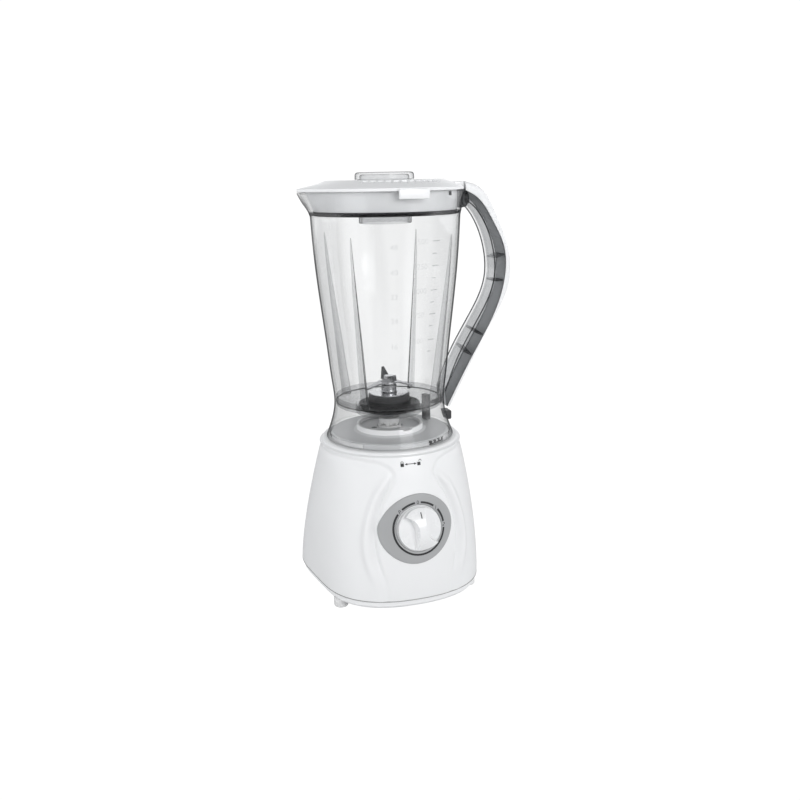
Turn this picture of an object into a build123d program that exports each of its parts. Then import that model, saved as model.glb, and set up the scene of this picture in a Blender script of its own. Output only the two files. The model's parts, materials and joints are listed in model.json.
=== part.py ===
"""Countertop blender: a clear 1.5 litre jar with blades on a white motor base.

Frame: +Z up, the table at Z = 0, the drive axis (motor, coupling, blades, jar) on the Z axis.
The control knob faces -Y, the spout points to -X and the jar's handle to +X.  Millimetres.
"""
from build123d import *
from math import cos, degrees, pi, radians, sin, sqrt
import os

os.makedirs("parts", exist_ok=True)

# ---------------------------------------------------------------- driving dimensions
# Base: heights
FOOT_HEIGHT = 9.0
PLATE_TOP = 16.5             # seam between base plate and housing
SHOULDER_Z = 148.7           # where the housing's side turns into its top
BASE_TOP = 150.2
# Base: plan, a rounded egg that is narrow at the front and wide at the back
PLAN_MEAN = 89.0             # mean radius at the seam
PLAN_TERMS = (-7.0, 5.0, 1.5, -4.0)   # egg, length, taper and squareness: cosine terms 1 to 4
SHOULDER_R = 65.0
SIDE_POWER = 1.6             # how late the side curves in towards the shoulder
PLAN_POINTS = 24
HOUSING_WALL = 2.6
CAVITY_TOP = BASE_TOP - 2.6
TOP_STEP = 2.4               # the round step that stands out of the shoulder

# Feet and fasteners under the base
FOOT_R = 6.7
FOOT_PLACES = [(-64, -40), (64, -40), (-62, 58), (62, 58)]
PLATE_BOSS_PLACES = [(-72, -8), (72, -8), (-36, 84.7), (36, 84.7)]
BOSS_R = 5.0

# Control panel
KNOB_Z = 83.0
KNOB_TILT = 10.0             # the panel leans back, degrees
PANEL_DEPTH = 79.3           # housing front at the knob's height
KNOB_R = 20.0
BEZEL_HALF_WIDTH = 35.0
BEZEL_HALF_HEIGHT = 31.0

# Deck and interlock
DECK_R, DECK_TOP = 54.8, 155.0   # a platform that the jar's skirt drops over
DECK_RING_R, DECK_RING_TOP = 31.4, 161.0
RING_FLOOR = 158.0           # floor inside the ring
WELL_R, WELL_FLOOR = 12.0, 152.6   # well round the drive coupling
INTERLOCK_PLACE = (42.6, 14.7)
PLUNGER_R = 2.5
FINGER_BOTTOM = 155.6

# Motor
SHAFT_R = 4.0
RUNNING = 0.05               # radial clearance of a shaft in its bearing
STACK_LOW, STACK_HIGH = 58.0, 98.0
ARMATURE_R = 20.0
AIR_GAP = 0.6
YOKE_INNER, YOKE_OUTER = 33.0, 39.0
SLOTS = 12
BRACKET_LOW, BRACKET_HIGH = 34.0, 104.0
BRACKET_THICK = 3.0
TIE_R = 36.0                 # pitch radius of the four motor tie bolts
MOUNT_R = 44.0               # pitch radius of the four damped motor mounts
FAN_Z = 114.0
FAN_R = 33.0
BRUSH_Z = 45.0

# Coupling
CUP_LOW, CUP_HIGH = 153.4, 159.4
CUP_R = 11.2
LOBES = 6
LOBE_CLEARANCE = 0.4

# Jar
SKIRT_R, SKIRT_BOTTOM = 60.2, 150.6
WAIST_R, FLOOR_TOP = 51.8, 184.3
FLOOR_UNDER = 180.5
BODY_TOP_R, BODY_TOP = 67.6, 354.0
COLLAR_LOW_R, COLLAR_LOW = 68.5, 358.0
RIM_R, RIM_Z = 70.5, 375.3
JAR_WALL = 2.5
SPOUT_TIP = 82.5
BOSS_OUTER, BOSS_INNER, BOSS_LOW = 31.4, 29.1, 172.0
RIB_ANGLES = (45, 135, 225, 315)
RIB_TOP = 338.0
HANDLE_HALF = 12.0

# Blade unit
FLANGE_R = 28.8
TOWER_R = 19.4
TOWER_TOP = 189.6
CAP_R = 18.1
HUB_R, HUB_TOP = 7.2, 198.4
BLADE_Z = 199.5

# Lid and measuring cap
LID_GAP = 0.4                # free height between jar rim and lid
LID_TOP = 385.0
LID_FLAT_R = 53.0
PLUG_R = 64.6
PLUG_LOW = 358.5
CAP_HOLE_R = 24.4
NECK_R, NECK_LOW = 26.8, 351.0   # the lid's tube round the measuring cap
MEASURE_R = 26.6
MEASURE_TOP = 391.6
MEASURE_LOW = 350.4
TAB_SHIFT = 2.3              # the finger tab sits a little towards the handle
VENT_IN, VENT_OUT = 54.5, 59.5   # the vents lie on the lid's sloping rim
VENT_WIDE, VENT_DEEP = 5.0, 1.2
VENT_PITCH = 360 / 52
VENTS = 11                   # in one row at the front, and the same again at the back


# ---------------------------------------------------------------- shared shapes
def height_share(z):
    """0 at the base's seam, 1 at its shoulder."""
    return min(max((z - PLATE_TOP) / (SHOULDER_Z - PLATE_TOP), 0.0), 1.0)


def plan_radius(angle, z):
    """Base radius at an angle from the front (-Y), at height z: egg at the seam, round on top."""
    t = height_share(z)
    mean = SHOULDER_R + (PLAN_MEAN - SHOULDER_R) * (1 - t ** SIDE_POWER)
    wave = sum(a * cos((k + 1) * angle) for k, a in enumerate(PLAN_TERMS))
    return mean * (1 + (1 - t) * wave / PLAN_MEAN)


def plan_section(z, inset, shape_z=None):
    """The base's plan at height z, pulled in by inset; shape_z takes the shape of another height."""
    ring = []
    for k in range(PLAN_POINTS):
        angle = 2 * pi * k / PLAN_POINTS
        r = plan_radius(angle, z if shape_z is None else shape_z) - inset
        ring.append((r * sin(angle), -r * cos(angle)))
    with BuildSketch(Plane.XY.offset(z)) as section:
        with BuildLine():
            Spline(*ring, periodic=True)
        make_face()
    return section.sketch


def finish(builder, name):
    """Label a finished piece and write its STEP file."""
    builder.part.label = name
    export_step(builder.part, f"parts/{name}.step")


def polar_points(radius, count, start=0.0):
    """count points on a circle about the Z axis."""
    steps = [radians(start + 360 * k / count) for k in range(count)]
    return [(radius * cos(a), radius * sin(a)) for a in steps]


def parallel(points, distance):
    """Points beside a smooth line through points, at a distance to its left."""
    with BuildLine() as line:
        Spline(*points)
    edge = line.edges()[0]
    beside = []
    for k in range(len(points)):
        u = k / (len(points) - 1)
        at, along = edge @ u, edge % u
        beside.append((at.X - along.Y * distance, at.Y + along.X * distance))
    return beside


# ---------------------------------------------------------------- base: shells
HOUSING_LEVELS = [PLATE_TOP + (SHOULDER_Z - PLATE_TOP) * s for s in (0, 0.2, 0.4, 0.6, 0.8, 1)]
CAVITY_LEVELS = [PLATE_TOP + (CAVITY_TOP - PLATE_TOP) * s for s in (0, 0.2, 0.4, 0.6, 0.8, 1)]

PANEL = Plane(
    origin=(0, -PANEL_DEPTH, KNOB_Z),
    x_dir=(1, 0, 0),
    z_dir=(0, -cos(radians(KNOB_TILT)), sin(radians(KNOB_TILT))),
)

with BuildPart() as cavity:
    loft([plan_section(z, HOUSING_WALL) for z in CAVITY_LEVELS])
    with BuildSketch(Plane.XY.offset(PLATE_TOP)):
        with Locations(*PLATE_BOSS_PLACES):
            Circle(BOSS_R)
    extrude(amount=26, mode=Mode.SUBTRACT)

with BuildPart() as base_housing:
    loft([plan_section(z, 0) for z in HOUSING_LEVELS])
    with Locations((0, 0, BASE_TOP - TOP_STEP / 2)):
        Cone(SHOULDER_R - 0.6, SHOULDER_R - 1.6, TOP_STEP)
    add(cavity.part, mode=Mode.SUBTRACT)
    with Locations((0, 0, BASE_TOP)):
        Cylinder(DECK_R + 0.2, 20, mode=Mode.SUBTRACT)
    with BuildSketch(Plane.XY.offset(PLATE_TOP)):
        with Locations(*PLATE_BOSS_PLACES):
            Circle(1.5)
    extrude(amount=20, mode=Mode.SUBTRACT)
    with Locations(PANEL):
        Cylinder(5.6, 20, mode=Mode.SUBTRACT)
    with BuildSketch(Plane.XZ.offset(-plan_radius(pi, 30) - 6)):
        with Locations((0, 30)):
            Circle(7.0)
    extrude(amount=20, mode=Mode.SUBTRACT)
finish(base_housing, "base_housing")

PLATE_INSET = 1.3
with BuildPart() as base_plate:
    loft([
        plan_section(FOOT_HEIGHT, PLATE_INSET + 2.4, PLATE_TOP),
        plan_section(FOOT_HEIGHT + 2.5, PLATE_INSET + 0.4, PLATE_TOP),
    ], ruled=True)
    loft([
        plan_section(FOOT_HEIGHT + 2.5, PLATE_INSET + 0.4, PLATE_TOP),
        plan_section(PLATE_TOP, PLATE_INSET, PLATE_TOP),
    ], ruled=True)
    loft([
        plan_section(FOOT_HEIGHT + 2.5, PLATE_INSET + 3.0, PLATE_TOP),
        plan_section(PLATE_TOP, PLATE_INSET + 2.6, PLATE_TOP),
    ], ruled=True, mode=Mode.SUBTRACT)
    with BuildSketch(Plane.XY.offset(FOOT_HEIGHT + 2.5)):
        with Locations(*PLATE_BOSS_PLACES):
            Circle(BOSS_R)
    extrude(amount=PLATE_TOP - FOOT_HEIGHT - 2.5)
    with BuildSketch(Plane.XY.offset(FOOT_HEIGHT)):
        with Locations(*PLATE_BOSS_PLACES):
            Circle(1.9)
        with Locations(*FOOT_PLACES):
            Circle(3.0)
        with GridLocations(0, 9, 1, 7):
            SlotOverall(46, 3.2)
    extrude(amount=PLATE_TOP, mode=Mode.SUBTRACT)
    with BuildSketch(Plane.XY.offset(FOOT_HEIGHT)):
        with Locations(*PLATE_BOSS_PLACES):
            Circle(3.6)
    extrude(amount=3.6, mode=Mode.SUBTRACT)
finish(base_plate, "base_plate")

with BuildPart() as rubber_feet:
    with BuildSketch():
        with Locations(*FOOT_PLACES):
            Circle(FOOT_R)
    extrude(amount=FOOT_HEIGHT)
    fillet(rubber_feet.edges().group_by(Axis.Z)[0], 2.2)
    with BuildSketch(Plane.XY.offset(FOOT_HEIGHT)):
        with Locations(*FOOT_PLACES):
            Circle(2.9)
    extrude(amount=2.5)
    with BuildSketch(Plane.XY.offset(FOOT_HEIGHT + 2.5)):
        with Locations(*FOOT_PLACES):
            Circle(4.0)
    extrude(amount=1.6)
finish(rubber_feet, "rubber_feet")

with BuildPart() as plate_screws:
    with BuildSketch(Plane.XY.offset(FOOT_HEIGHT + 1.4)):
        with Locations(*PLATE_BOSS_PLACES):
            Circle(3.4)
    extrude(amount=2.2)
    with BuildSketch(Plane.XY.offset(FOOT_HEIGHT + 3.6)):
        with Locations(*PLATE_BOSS_PLACES):
            Circle(1.5)
    extrude(amount=20)
    with BuildSketch(Plane.XY.offset(FOOT_HEIGHT + 1.4)):
        with Locations(*PLATE_BOSS_PLACES):
            Rectangle(4.0, 0.9)
            Rectangle(0.9, 4.0)
    extrude(amount=1.2, mode=Mode.SUBTRACT)
finish(plate_screws, "plate_screws")

# ---------------------------------------------------------------- base: deck under the jar
DECK_THICK = 2.4
DRAIN_PLACE = (-16.5, -3.7)
SWITCH_LONG = 18.0           # interlock microswitch, along Y
SWITCH_Y = INTERLOCK_PLACE[1] + 6.5
PILLAR_LOW = 113.0
UNDER_DECK = DECK_TOP - DECK_THICK
FLANGE_LOW = CAVITY_TOP - 2.0    # the deck is clamped under the housing's top by this flange
with BuildPart() as top_deck:
    with BuildSketch(Plane.XZ):
        with BuildLine():
            Polyline(
                (5.4, WELL_FLOOR - DECK_THICK), (5.4, WELL_FLOOR), (WELL_R, WELL_FLOOR),
                (WELL_R, RING_FLOOR), (DECK_RING_R - 2.6, RING_FLOOR), (DECK_RING_R - 2.6, DECK_RING_TOP),
                (DECK_RING_R, DECK_RING_TOP), (DECK_RING_R, DECK_TOP + 1.4), (DECK_RING_R + 3.0, DECK_TOP),
                (DECK_R, DECK_TOP), (DECK_R, CAVITY_TOP), (DECK_R + 3.2, CAVITY_TOP),
                (DECK_R + 3.2, FLANGE_LOW), (DECK_R - DECK_THICK, FLANGE_LOW),
                (DECK_R - DECK_THICK, UNDER_DECK), (DECK_RING_R - DECK_THICK, UNDER_DECK),
                (DECK_RING_R - DECK_THICK, RING_FLOOR - DECK_THICK), (WELL_R + DECK_THICK, RING_FLOOR - DECK_THICK),
                (WELL_R + DECK_THICK, WELL_FLOOR - DECK_THICK), close=True)
        make_face()
    revolve(axis=Axis.Z)
    with BuildSketch(Plane.XY.offset(PILLAR_LOW)):
        with Locations(*polar_points(MOUNT_R, 4)):
            Circle(4.6)
    extrude(amount=UNDER_DECK + 0.5 - PILLAR_LOW)
    with BuildSketch(Plane.XY.offset(PILLAR_LOW)):
        with Locations(*polar_points(MOUNT_R, 4)):
            Circle(2.0)
    extrude(amount=14, mode=Mode.SUBTRACT)
    with BuildSketch(Plane.XY.offset(131)):
        with Locations(INTERLOCK_PLACE):
            Circle(PLUNGER_R + 2.2)
    extrude(amount=UNDER_DECK + 0.5 - 131)
    with Locations((*INTERLOCK_PLACE, 140)):
        Cylinder(PLUNGER_R + 0.3, 60, mode=Mode.SUBTRACT)
    with Locations((*DRAIN_PLACE, RING_FLOOR)):
        Cylinder(2.8, 20, mode=Mode.SUBTRACT)
    with BuildSketch(Plane.XY.offset(107.5)):
        with Locations((INTERLOCK_PLACE[0], SWITCH_Y + SWITCH_LONG / 2 + 1.5)):
            Rectangle(10, 3)
    extrude(amount=CAVITY_TOP - 107.5)
finish(top_deck, "top_deck")

CATCH_START, CATCH_SPAN = -68.0, 21.0    # degrees from +X, at the front right
CATCH_LOW, CATCH_OUT = BASE_TOP + 0.15, 1.4
with BuildPart() as lock_catch:
    with BuildSketch(Plane.XZ.offset(0)) as catch_profile:
        with Locations((DECK_R + CATCH_OUT / 2, CATCH_LOW + 0.5)):
            Rectangle(CATCH_OUT, 1.0)
    revolve(axis=Axis.Z, revolution_arc=CATCH_SPAN)
    lock_catch.part = lock_catch.part.rotate(Axis.Z, CATCH_START)
    with BuildSketch(Plane.XY.offset(CATCH_LOW)):
        with PolarLocations(DECK_R + CATCH_OUT / 2 + 0.05, 4, CATCH_START + 1.9, 23):
            Rectangle(CATCH_OUT - 0.1, 2.9)
    extrude(amount=3.2)
finish(lock_catch, "lock_catch")

# ---------------------------------------------------------------- base: control panel
BEZEL_THICK = 2.4
with BuildPart() as bezel_disc:
    with BuildSketch(PANEL.offset(-12)):
        with BuildLine():
            Spline(
                (-BEZEL_HALF_WIDTH, -4), (-10, -BEZEL_HALF_HEIGHT), (24, -22),
                (BEZEL_HALF_WIDTH, 6), (10, BEZEL_HALF_HEIGHT), (-22, 22), periodic=True)
        make_face()
    extrude(amount=30)
with BuildPart() as bezel_layer:
    loft([plan_section(z, -BEZEL_THICK) for z in HOUSING_LEVELS[1:5]])
    loft([plan_section(z, -0.1) for z in HOUSING_LEVELS[1:5]], mode=Mode.SUBTRACT)
with BuildPart() as control_bezel:
    add(bezel_disc.part)
    add(bezel_layer.part, mode=Mode.INTERSECT)
    with Locations(PANEL):
        Cylinder(KNOB_R + 1.2, 40, mode=Mode.SUBTRACT)
finish(control_bezel, "control_bezel")

KNOB_GAP = 0.9               # knob skirt to housing
KNOB_HEIGHT = 6.0
GRIP_HEIGHT = 13.0
# One side of the S-shaped grip bar; the other side is its half turn
GRIP_SIDE = [(-12.6, 12.4), (-5.8, 5.8), (-4.2, -1.4), (-4.8, -11.0), (-5.6, -18.2)]
with BuildPart() as knob:
    with BuildSketch(PANEL.offset(KNOB_GAP)):
        Circle(KNOB_R)
    extrude(amount=KNOB_HEIGHT - KNOB_GAP, taper=2)
    with BuildSketch(PANEL.offset(KNOB_HEIGHT - 1.0)):
        with BuildLine():
            near = Spline(*GRIP_SIDE)
            far = Spline(*[(-x, -y) for x, y in GRIP_SIDE])
            Line(near @ 1, far @ 0)
            Line(far @ 1, near @ 0)
        make_face()
    extrude(amount=GRIP_HEIGHT - KNOB_HEIGHT + 1.0)
    with BuildSketch(PANEL.offset(KNOB_GAP)):
        Circle(KNOB_R - 2.2)
        Circle(5.6, mode=Mode.SUBTRACT)
    extrude(amount=KNOB_HEIGHT - KNOB_GAP - 2.2, mode=Mode.SUBTRACT)
    with BuildSketch(PANEL.offset(KNOB_GAP)):
        Circle(3.0)
    extrude(amount=9.5, mode=Mode.SUBTRACT)
finish(knob, "knob")

with BuildPart() as knob_shaft:
    with BuildSketch(PANEL.offset(-16)):
        Circle(3.0)
    extrude(amount=16 + KNOB_GAP + 8.5)
finish(knob_shaft, "knob_shaft")

SWITCH_FACE = -7.0           # switch front, behind the panel's outer face
with BuildPart() as rotary_switch:
    with BuildSketch(PANEL.offset(SWITCH_FACE)):
        RectangleRounded(31, 29, 3)
    extrude(amount=-15)
    with BuildSketch(PANEL.offset(SWITCH_FACE)):
        Circle(5.0)
    extrude(amount=3.2)
    with BuildSketch(PANEL.offset(SWITCH_FACE - 14)):
        Circle(3.0 + RUNNING)
    extrude(amount=30, mode=Mode.SUBTRACT)
    with BuildSketch(PANEL.offset(SWITCH_FACE - 15)):
        with GridLocations(8, 16, 3, 2):
            Rectangle(4.8, 0.9)
    extrude(amount=-6)
finish(rotary_switch, "rotary_switch")

# ---------------------------------------------------------------- base: motor, fixed pieces
with BuildPart() as motor_stator:
    with BuildSketch(Plane.XY.offset(STACK_LOW)):
        Circle(YOKE_OUTER)
        Circle(YOKE_INNER, mode=Mode.SUBTRACT)
        for side in (-1, 1):
            with Locations((0, side * 29)):
                Rectangle(20, 10)
        with BuildSketch(mode=Mode.ADD):
            Circle(25.4)
            with Locations((28, 0), (-28, 0)):
                Rectangle(34, 60, mode=Mode.SUBTRACT)
        Circle(ARMATURE_R + AIR_GAP, mode=Mode.SUBTRACT)
        with Locations(*polar_points(TIE_R, 4, 45)):
            Circle(1.75, mode=Mode.SUBTRACT)
    extrude(amount=STACK_HIGH - STACK_LOW)
finish(motor_stator, "motor_stator")

STACK_MID = (STACK_LOW + STACK_HIGH) / 2
with BuildPart() as field_windings:
    for side in (-1, 1):
        with BuildSketch(Plane.XZ.offset(side * 27.7)):
            with Locations((0, STACK_MID)):
                RectangleRounded(27.6, 49, 3)
                Rectangle(20.4, 40.6, mode=Mode.SUBTRACT)
        extrude(amount=2.1, both=True)
finish(field_windings, "field_windings")

BEARING_R = 9.5


def bearing_bracket(name, plate_low, boss_low, boss_high, bearing_low, bearing_high, pillar, arms):
    """An end bracket: plate, bearing boss, four tie-bolt pillars and, if asked, mounting arms."""
    with BuildPart() as bracket:
        with BuildSketch(Plane.XY.offset(plate_low)):
            Circle(YOKE_OUTER - 0.5)
            if arms:
                Rectangle(2 * MOUNT_R + 14, 13)
                Rectangle(13, 2 * MOUNT_R + 14)
            with PolarLocations(22, 6, 30):
                SlotOverall(11, 6, mode=Mode.SUBTRACT)
        extrude(amount=BRACKET_THICK)
        with BuildSketch(Plane.XY.offset(boss_low)):
            Circle(BEARING_R + 3)
        extrude(amount=boss_high - boss_low)
        with BuildSketch(Plane.XY.offset(pillar[0])):
            with Locations(*polar_points(TIE_R, 4, 45)):
                Circle(2.9)
        extrude(amount=pillar[1] - pillar[0])
        with BuildSketch(Plane.XY.offset(plate_low - 30)):
            with Locations(*polar_points(TIE_R, 4, 45)):
                Circle(1.75)
            Circle(SHAFT_R + 2)
            if arms:
                with Locations(*polar_points(MOUNT_R, 4)):
                    Circle(2.1)
        extrude(amount=60, mode=Mode.SUBTRACT)
        with BuildSketch(Plane.XY.offset(bearing_low)):
            Circle(BEARING_R)
        extrude(amount=bearing_high - bearing_low, mode=Mode.SUBTRACT)
    finish(bracket, name)
    return bracket


LOWER_BEARING = (30.0, 37.0)
UPPER_BEARING = (103.0, 110.0)
lower_bracket = bearing_bracket(
    "lower_bracket", BRACKET_LOW, 29.0, 38.4, *LOWER_BEARING, (BRACKET_LOW + 1, STACK_LOW), False)
upper_bracket = bearing_bracket(
    "upper_bracket", BRACKET_HIGH, 101.6, 111.0, *UPPER_BEARING, (STACK_HIGH, BRACKET_HIGH + 1), True)

for bearing_name, (low, high) in (("lower_bearing", LOWER_BEARING), ("upper_bearing", UPPER_BEARING)):
    with BuildPart() as bearing:
        with Locations((0, 0, (low + high) / 2)):
            Cylinder(BEARING_R, high - low)
            Cylinder(SHAFT_R + RUNNING, high - low, mode=Mode.SUBTRACT)
        for face in (low, high):
            with Locations((0, 0, face)):
                Cylinder(7.6, 0.8, mode=Mode.SUBTRACT)
        for face in (low + 0.4, high - 0.4):
            with Locations((0, 0, face)):
                Cylinder(5.6, 0.8)
                Cylinder(SHAFT_R + RUNNING, 0.8, mode=Mode.SUBTRACT)
    finish(bearing, bearing_name)

with BuildPart() as tie_bolts:
    with BuildSketch(Plane.XY.offset(BRACKET_LOW - 3)):
        with Locations(*polar_points(TIE_R, 4, 45)):
            Circle(3.2)
    extrude(amount=3)
    with BuildSketch(Plane.XY.offset(BRACKET_LOW)):
        with Locations(*polar_points(TIE_R, 4, 45)):
            Circle(1.7)
    extrude(amount=BRACKET_HIGH + BRACKET_THICK + 3 - BRACKET_LOW)
finish(tie_bolts, "tie_bolts")

with BuildPart() as tie_nuts:
    with BuildSketch(Plane.XY.offset(BRACKET_HIGH + BRACKET_THICK)):
        with Locations(*polar_points(TIE_R, 4, 45)):
            RegularPolygon(3.2, 6)
            Circle(1.7, mode=Mode.SUBTRACT)
    extrude(amount=2.4)
finish(tie_nuts, "tie_nuts")

with BuildPart() as motor_dampers:
    with BuildSketch(Plane.XY.offset(BRACKET_HIGH + BRACKET_THICK)):
        with Locations(*polar_points(MOUNT_R, 4)):
            Circle(5.6)
            Circle(2.1, mode=Mode.SUBTRACT)
    extrude(amount=PILLAR_LOW - BRACKET_HIGH - BRACKET_THICK)
finish(motor_dampers, "motor_dampers")

with BuildPart() as mount_screws:
    with BuildSketch(Plane.XY.offset(BRACKET_HIGH - 3)):
        with Locations(*polar_points(MOUNT_R, 4)):
            Circle(3.8)
    extrude(amount=3)
    with BuildSketch(Plane.XY.offset(BRACKET_HIGH)):
        with Locations(*polar_points(MOUNT_R, 4)):
            Circle(2.0)
    extrude(amount=20)
finish(mount_screws, "mount_screws")

COMMUTATOR_R = 11.0
BRUSH_GAP = 0.3
with BuildPart() as brush_holders:
    for side in (-1, 1):
        with Locations((side * 22, 0, BRUSH_Z)):
            Box(16, 9, 11)
            Box(20, 6.2, 8.2, mode=Mode.SUBTRACT)
        with Locations((side * 24, 0, (BRACKET_LOW + BRACKET_THICK + BRUSH_Z - 5.5) / 2)):
            Box(9, 9, BRUSH_Z - 5.5 - BRACKET_LOW - BRACKET_THICK)
finish(brush_holders, "brush_holders")

with BuildPart() as carbon_brushes:
    for side in (-1, 1):
        with Locations((side * (COMMUTATOR_R + BRUSH_GAP + 6.5), 0, BRUSH_Z)):
            Box(13, 6, 8)
finish(carbon_brushes, "carbon_brushes")

# ---------------------------------------------------------------- base: rotor
with BuildPart() as motor_shaft:
    with Locations((0, 0, (27 + 154.6) / 2)):
        Cylinder(SHAFT_R, 154.6 - 27)
    chamfer(motor_shaft.edges(), 0.5)
finish(motor_shaft, "motor_shaft")

SLOT_MID, SLOT_DEEP, SLOT_WIDE = 15.2, 8.0, 3.0
with BuildPart() as armature_core:
    with BuildSketch(Plane.XY.offset(STACK_LOW)):
        Circle(ARMATURE_R)
        Circle(SHAFT_R, mode=Mode.SUBTRACT)
        with PolarLocations(SLOT_MID, SLOTS):
            Rectangle(SLOT_DEEP, SLOT_WIDE, mode=Mode.SUBTRACT)
        with PolarLocations(ARMATURE_R, SLOTS):
            Rectangle(4, 1.2, mode=Mode.SUBTRACT)
    extrude(amount=STACK_HIGH - STACK_LOW)
finish(armature_core, "armature_core")

END_TURN, TOP_TURN = 5.0, 3.0
with BuildPart() as armature_windings:
    with BuildSketch(Plane.XY.offset(STACK_LOW - END_TURN)):
        with PolarLocations(SLOT_MID, SLOTS):
            Rectangle(SLOT_DEEP - 0.4, SLOT_WIDE - 0.4)
    extrude(amount=STACK_HIGH - STACK_LOW + END_TURN + TOP_TURN)
    for low, height in ((STACK_LOW - END_TURN, END_TURN), (STACK_HIGH, TOP_TURN)):
        with BuildSketch(Plane.XY.offset(low)):
            Circle(SLOT_MID + 3.2)
            Circle(SHAFT_R + 2.4, mode=Mode.SUBTRACT)
        extrude(amount=height)
finish(armature_windings, "armature_windings")

with BuildPart() as commutator:
    with BuildSketch(Plane.XY.offset(BRUSH_Z - 5.6)):
        Circle(COMMUTATOR_R)
        Circle(SHAFT_R, mode=Mode.SUBTRACT)
        with PolarLocations(COMMUTATOR_R, 2 * SLOTS):
            Rectangle(1.6, 0.5, mode=Mode.SUBTRACT)
    extrude(amount=11.2)
finish(commutator, "commutator")

FAN_BLADES = 11
with BuildPart() as cooling_fan:
    with BuildSketch(Plane.XY.offset(FAN_Z)):
        Circle(FAN_R)
    extrude(amount=1.6)
    with BuildSketch(Plane.XY.offset(FAN_Z)):
        Circle(8)
    extrude(amount=10)
    with BuildSketch(Plane.XY.offset(FAN_Z)):
        with PolarLocations(21.5, FAN_BLADES):
            Rectangle(21, 1.4, rotation=18)
    extrude(amount=10)
    with BuildSketch(Plane.XY.offset(FAN_Z)):
        Circle(SHAFT_R)
    extrude(amount=20, mode=Mode.SUBTRACT)
finish(cooling_fan, "cooling_fan")


def lobed_outline(core, tip, width):
    """A star for the drive: a core circle with straight lobes, in the current sketch."""
    Circle(core)
    with PolarLocations((core + tip) / 2 - 0.5, LOBES):
        Rectangle(tip - core + 1.0, width)


with BuildPart() as drive_coupling:
    with BuildSketch(Plane.XY.offset(CUP_LOW)):
        Circle(CUP_R)
    extrude(amount=CUP_HIGH - CUP_LOW)
    with BuildSketch(Plane.XY.offset(CUP_LOW + 1.6)):
        Circle(6.4)
        with PolarLocations(7.6, LOBES):
            Rectangle(4.2, 3.6)
    extrude(amount=20, mode=Mode.SUBTRACT)
    with BuildSketch(Plane.XY.offset(CUP_LOW - 6)):
        Circle(5.0)
    extrude(amount=6)
    with BuildSketch(Plane.XY.offset(CUP_LOW - 8)):
        Circle(SHAFT_R)
    extrude(amount=9.2, mode=Mode.SUBTRACT)
finish(drive_coupling, "drive_coupling")

# ---------------------------------------------------------------- base: electrics and interlock
SPRING_SEAT = 131.0
PLUNGER_TOP = FINGER_BOTTOM - 0.4
with BuildPart() as interlock_plunger:
    with Locations((*INTERLOCK_PLACE, (SPRING_SEAT - 6 + PLUNGER_TOP) / 2)):
        Cylinder(PLUNGER_R, PLUNGER_TOP - SPRING_SEAT + 6)
    with Locations((*INTERLOCK_PLACE, SPRING_SEAT - 6.6)):
        Cylinder(4.2, 1.4)
    fillet(interlock_plunger.edges().group_by(Axis.Z)[-1], 1.0)
finish(interlock_plunger, "interlock_plunger")

with BuildPart() as interlock_switch:
    with Locations((INTERLOCK_PLACE[0], SWITCH_Y, 112.5)):
        Box(12, SWITCH_LONG, 10)
    with Locations((INTERLOCK_PLACE[0], INTERLOCK_PLACE[1], 118.2)):
        Box(3, 3, 1.6)
finish(interlock_switch, "interlock_switch")

with BuildPart() as terminal_block:
    with Locations((0, 62, FOOT_HEIGHT + 2.5 + 6.5)):
        Box(34, 14, 13)
        with GridLocations(11, 0, 3, 1):
            Cylinder(2.6, 20, mode=Mode.SUBTRACT)
finish(terminal_block, "terminal_block")

with BuildPart() as thermal_cutout:
    with Locations((0, -YOKE_OUTER - 2.6, 78)):
        Box(12, 5, 20)
    fillet(thermal_cutout.edges().filter_by(Axis.Z), 1.5)
finish(thermal_cutout, "thermal_cutout")

GLAND_Z = 30.0
GLAND_BACK = plan_radius(pi, GLAND_Z)
with BuildPart() as cord_gland:
    with BuildSketch(Plane.XZ.offset(-GLAND_BACK + 6)):
        with Locations((0, GLAND_Z)):
            Circle(6.6)
    extrude(amount=-11)
    with BuildSketch(Plane.XZ.offset(-GLAND_BACK - 1.2)):
        with Locations((0, GLAND_Z)):
            Circle(8.6)
    extrude(amount=-2.2)
    with BuildSketch(Plane.XZ.offset(-GLAND_BACK + 12)):
        with Locations((0, GLAND_Z)):
            Circle(3.4)
    extrude(amount=-30, mode=Mode.SUBTRACT)
finish(cord_gland, "cord_gland")

# ---------------------------------------------------------------- jar
SKIRT_LINE = [(SKIRT_R, SKIRT_BOTTOM), (55.7, 163.0), (WAIST_R, FLOOR_TOP), (53.4, 202.0)]
BODY_LINE = [(53.4, 202.0), (56.5, 231.0), (61.7, 278.0), (65.9, 323.0), (BODY_TOP_R, BODY_TOP)]


def jar_solid(inset, low, high):
    """The jar's outside turned about the Z axis, pulled in by inset and cut to a height range."""
    outline = SKIRT_LINE + BODY_LINE[1:]
    with BuildPart() as turned:
        with BuildSketch(Plane.XZ):
            with BuildLine():
                Spline(*[(r - inset, z) for r, z in outline])
                Polyline(
                    (BODY_TOP_R - inset, BODY_TOP), (COLLAR_LOW_R - inset, COLLAR_LOW),
                    (RIM_R - inset, RIM_Z), (0, RIM_Z), (0, SKIRT_BOTTOM),
                    (SKIRT_R - inset, SKIRT_BOTTOM))
            make_face()
        revolve(axis=Axis.Z)
        split(bisect_by=Plane.XY.offset(low), keep=Keep.TOP)
        split(bisect_by=Plane.XY.offset(high), keep=Keep.BOTTOM)
    return turned.part


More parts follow.
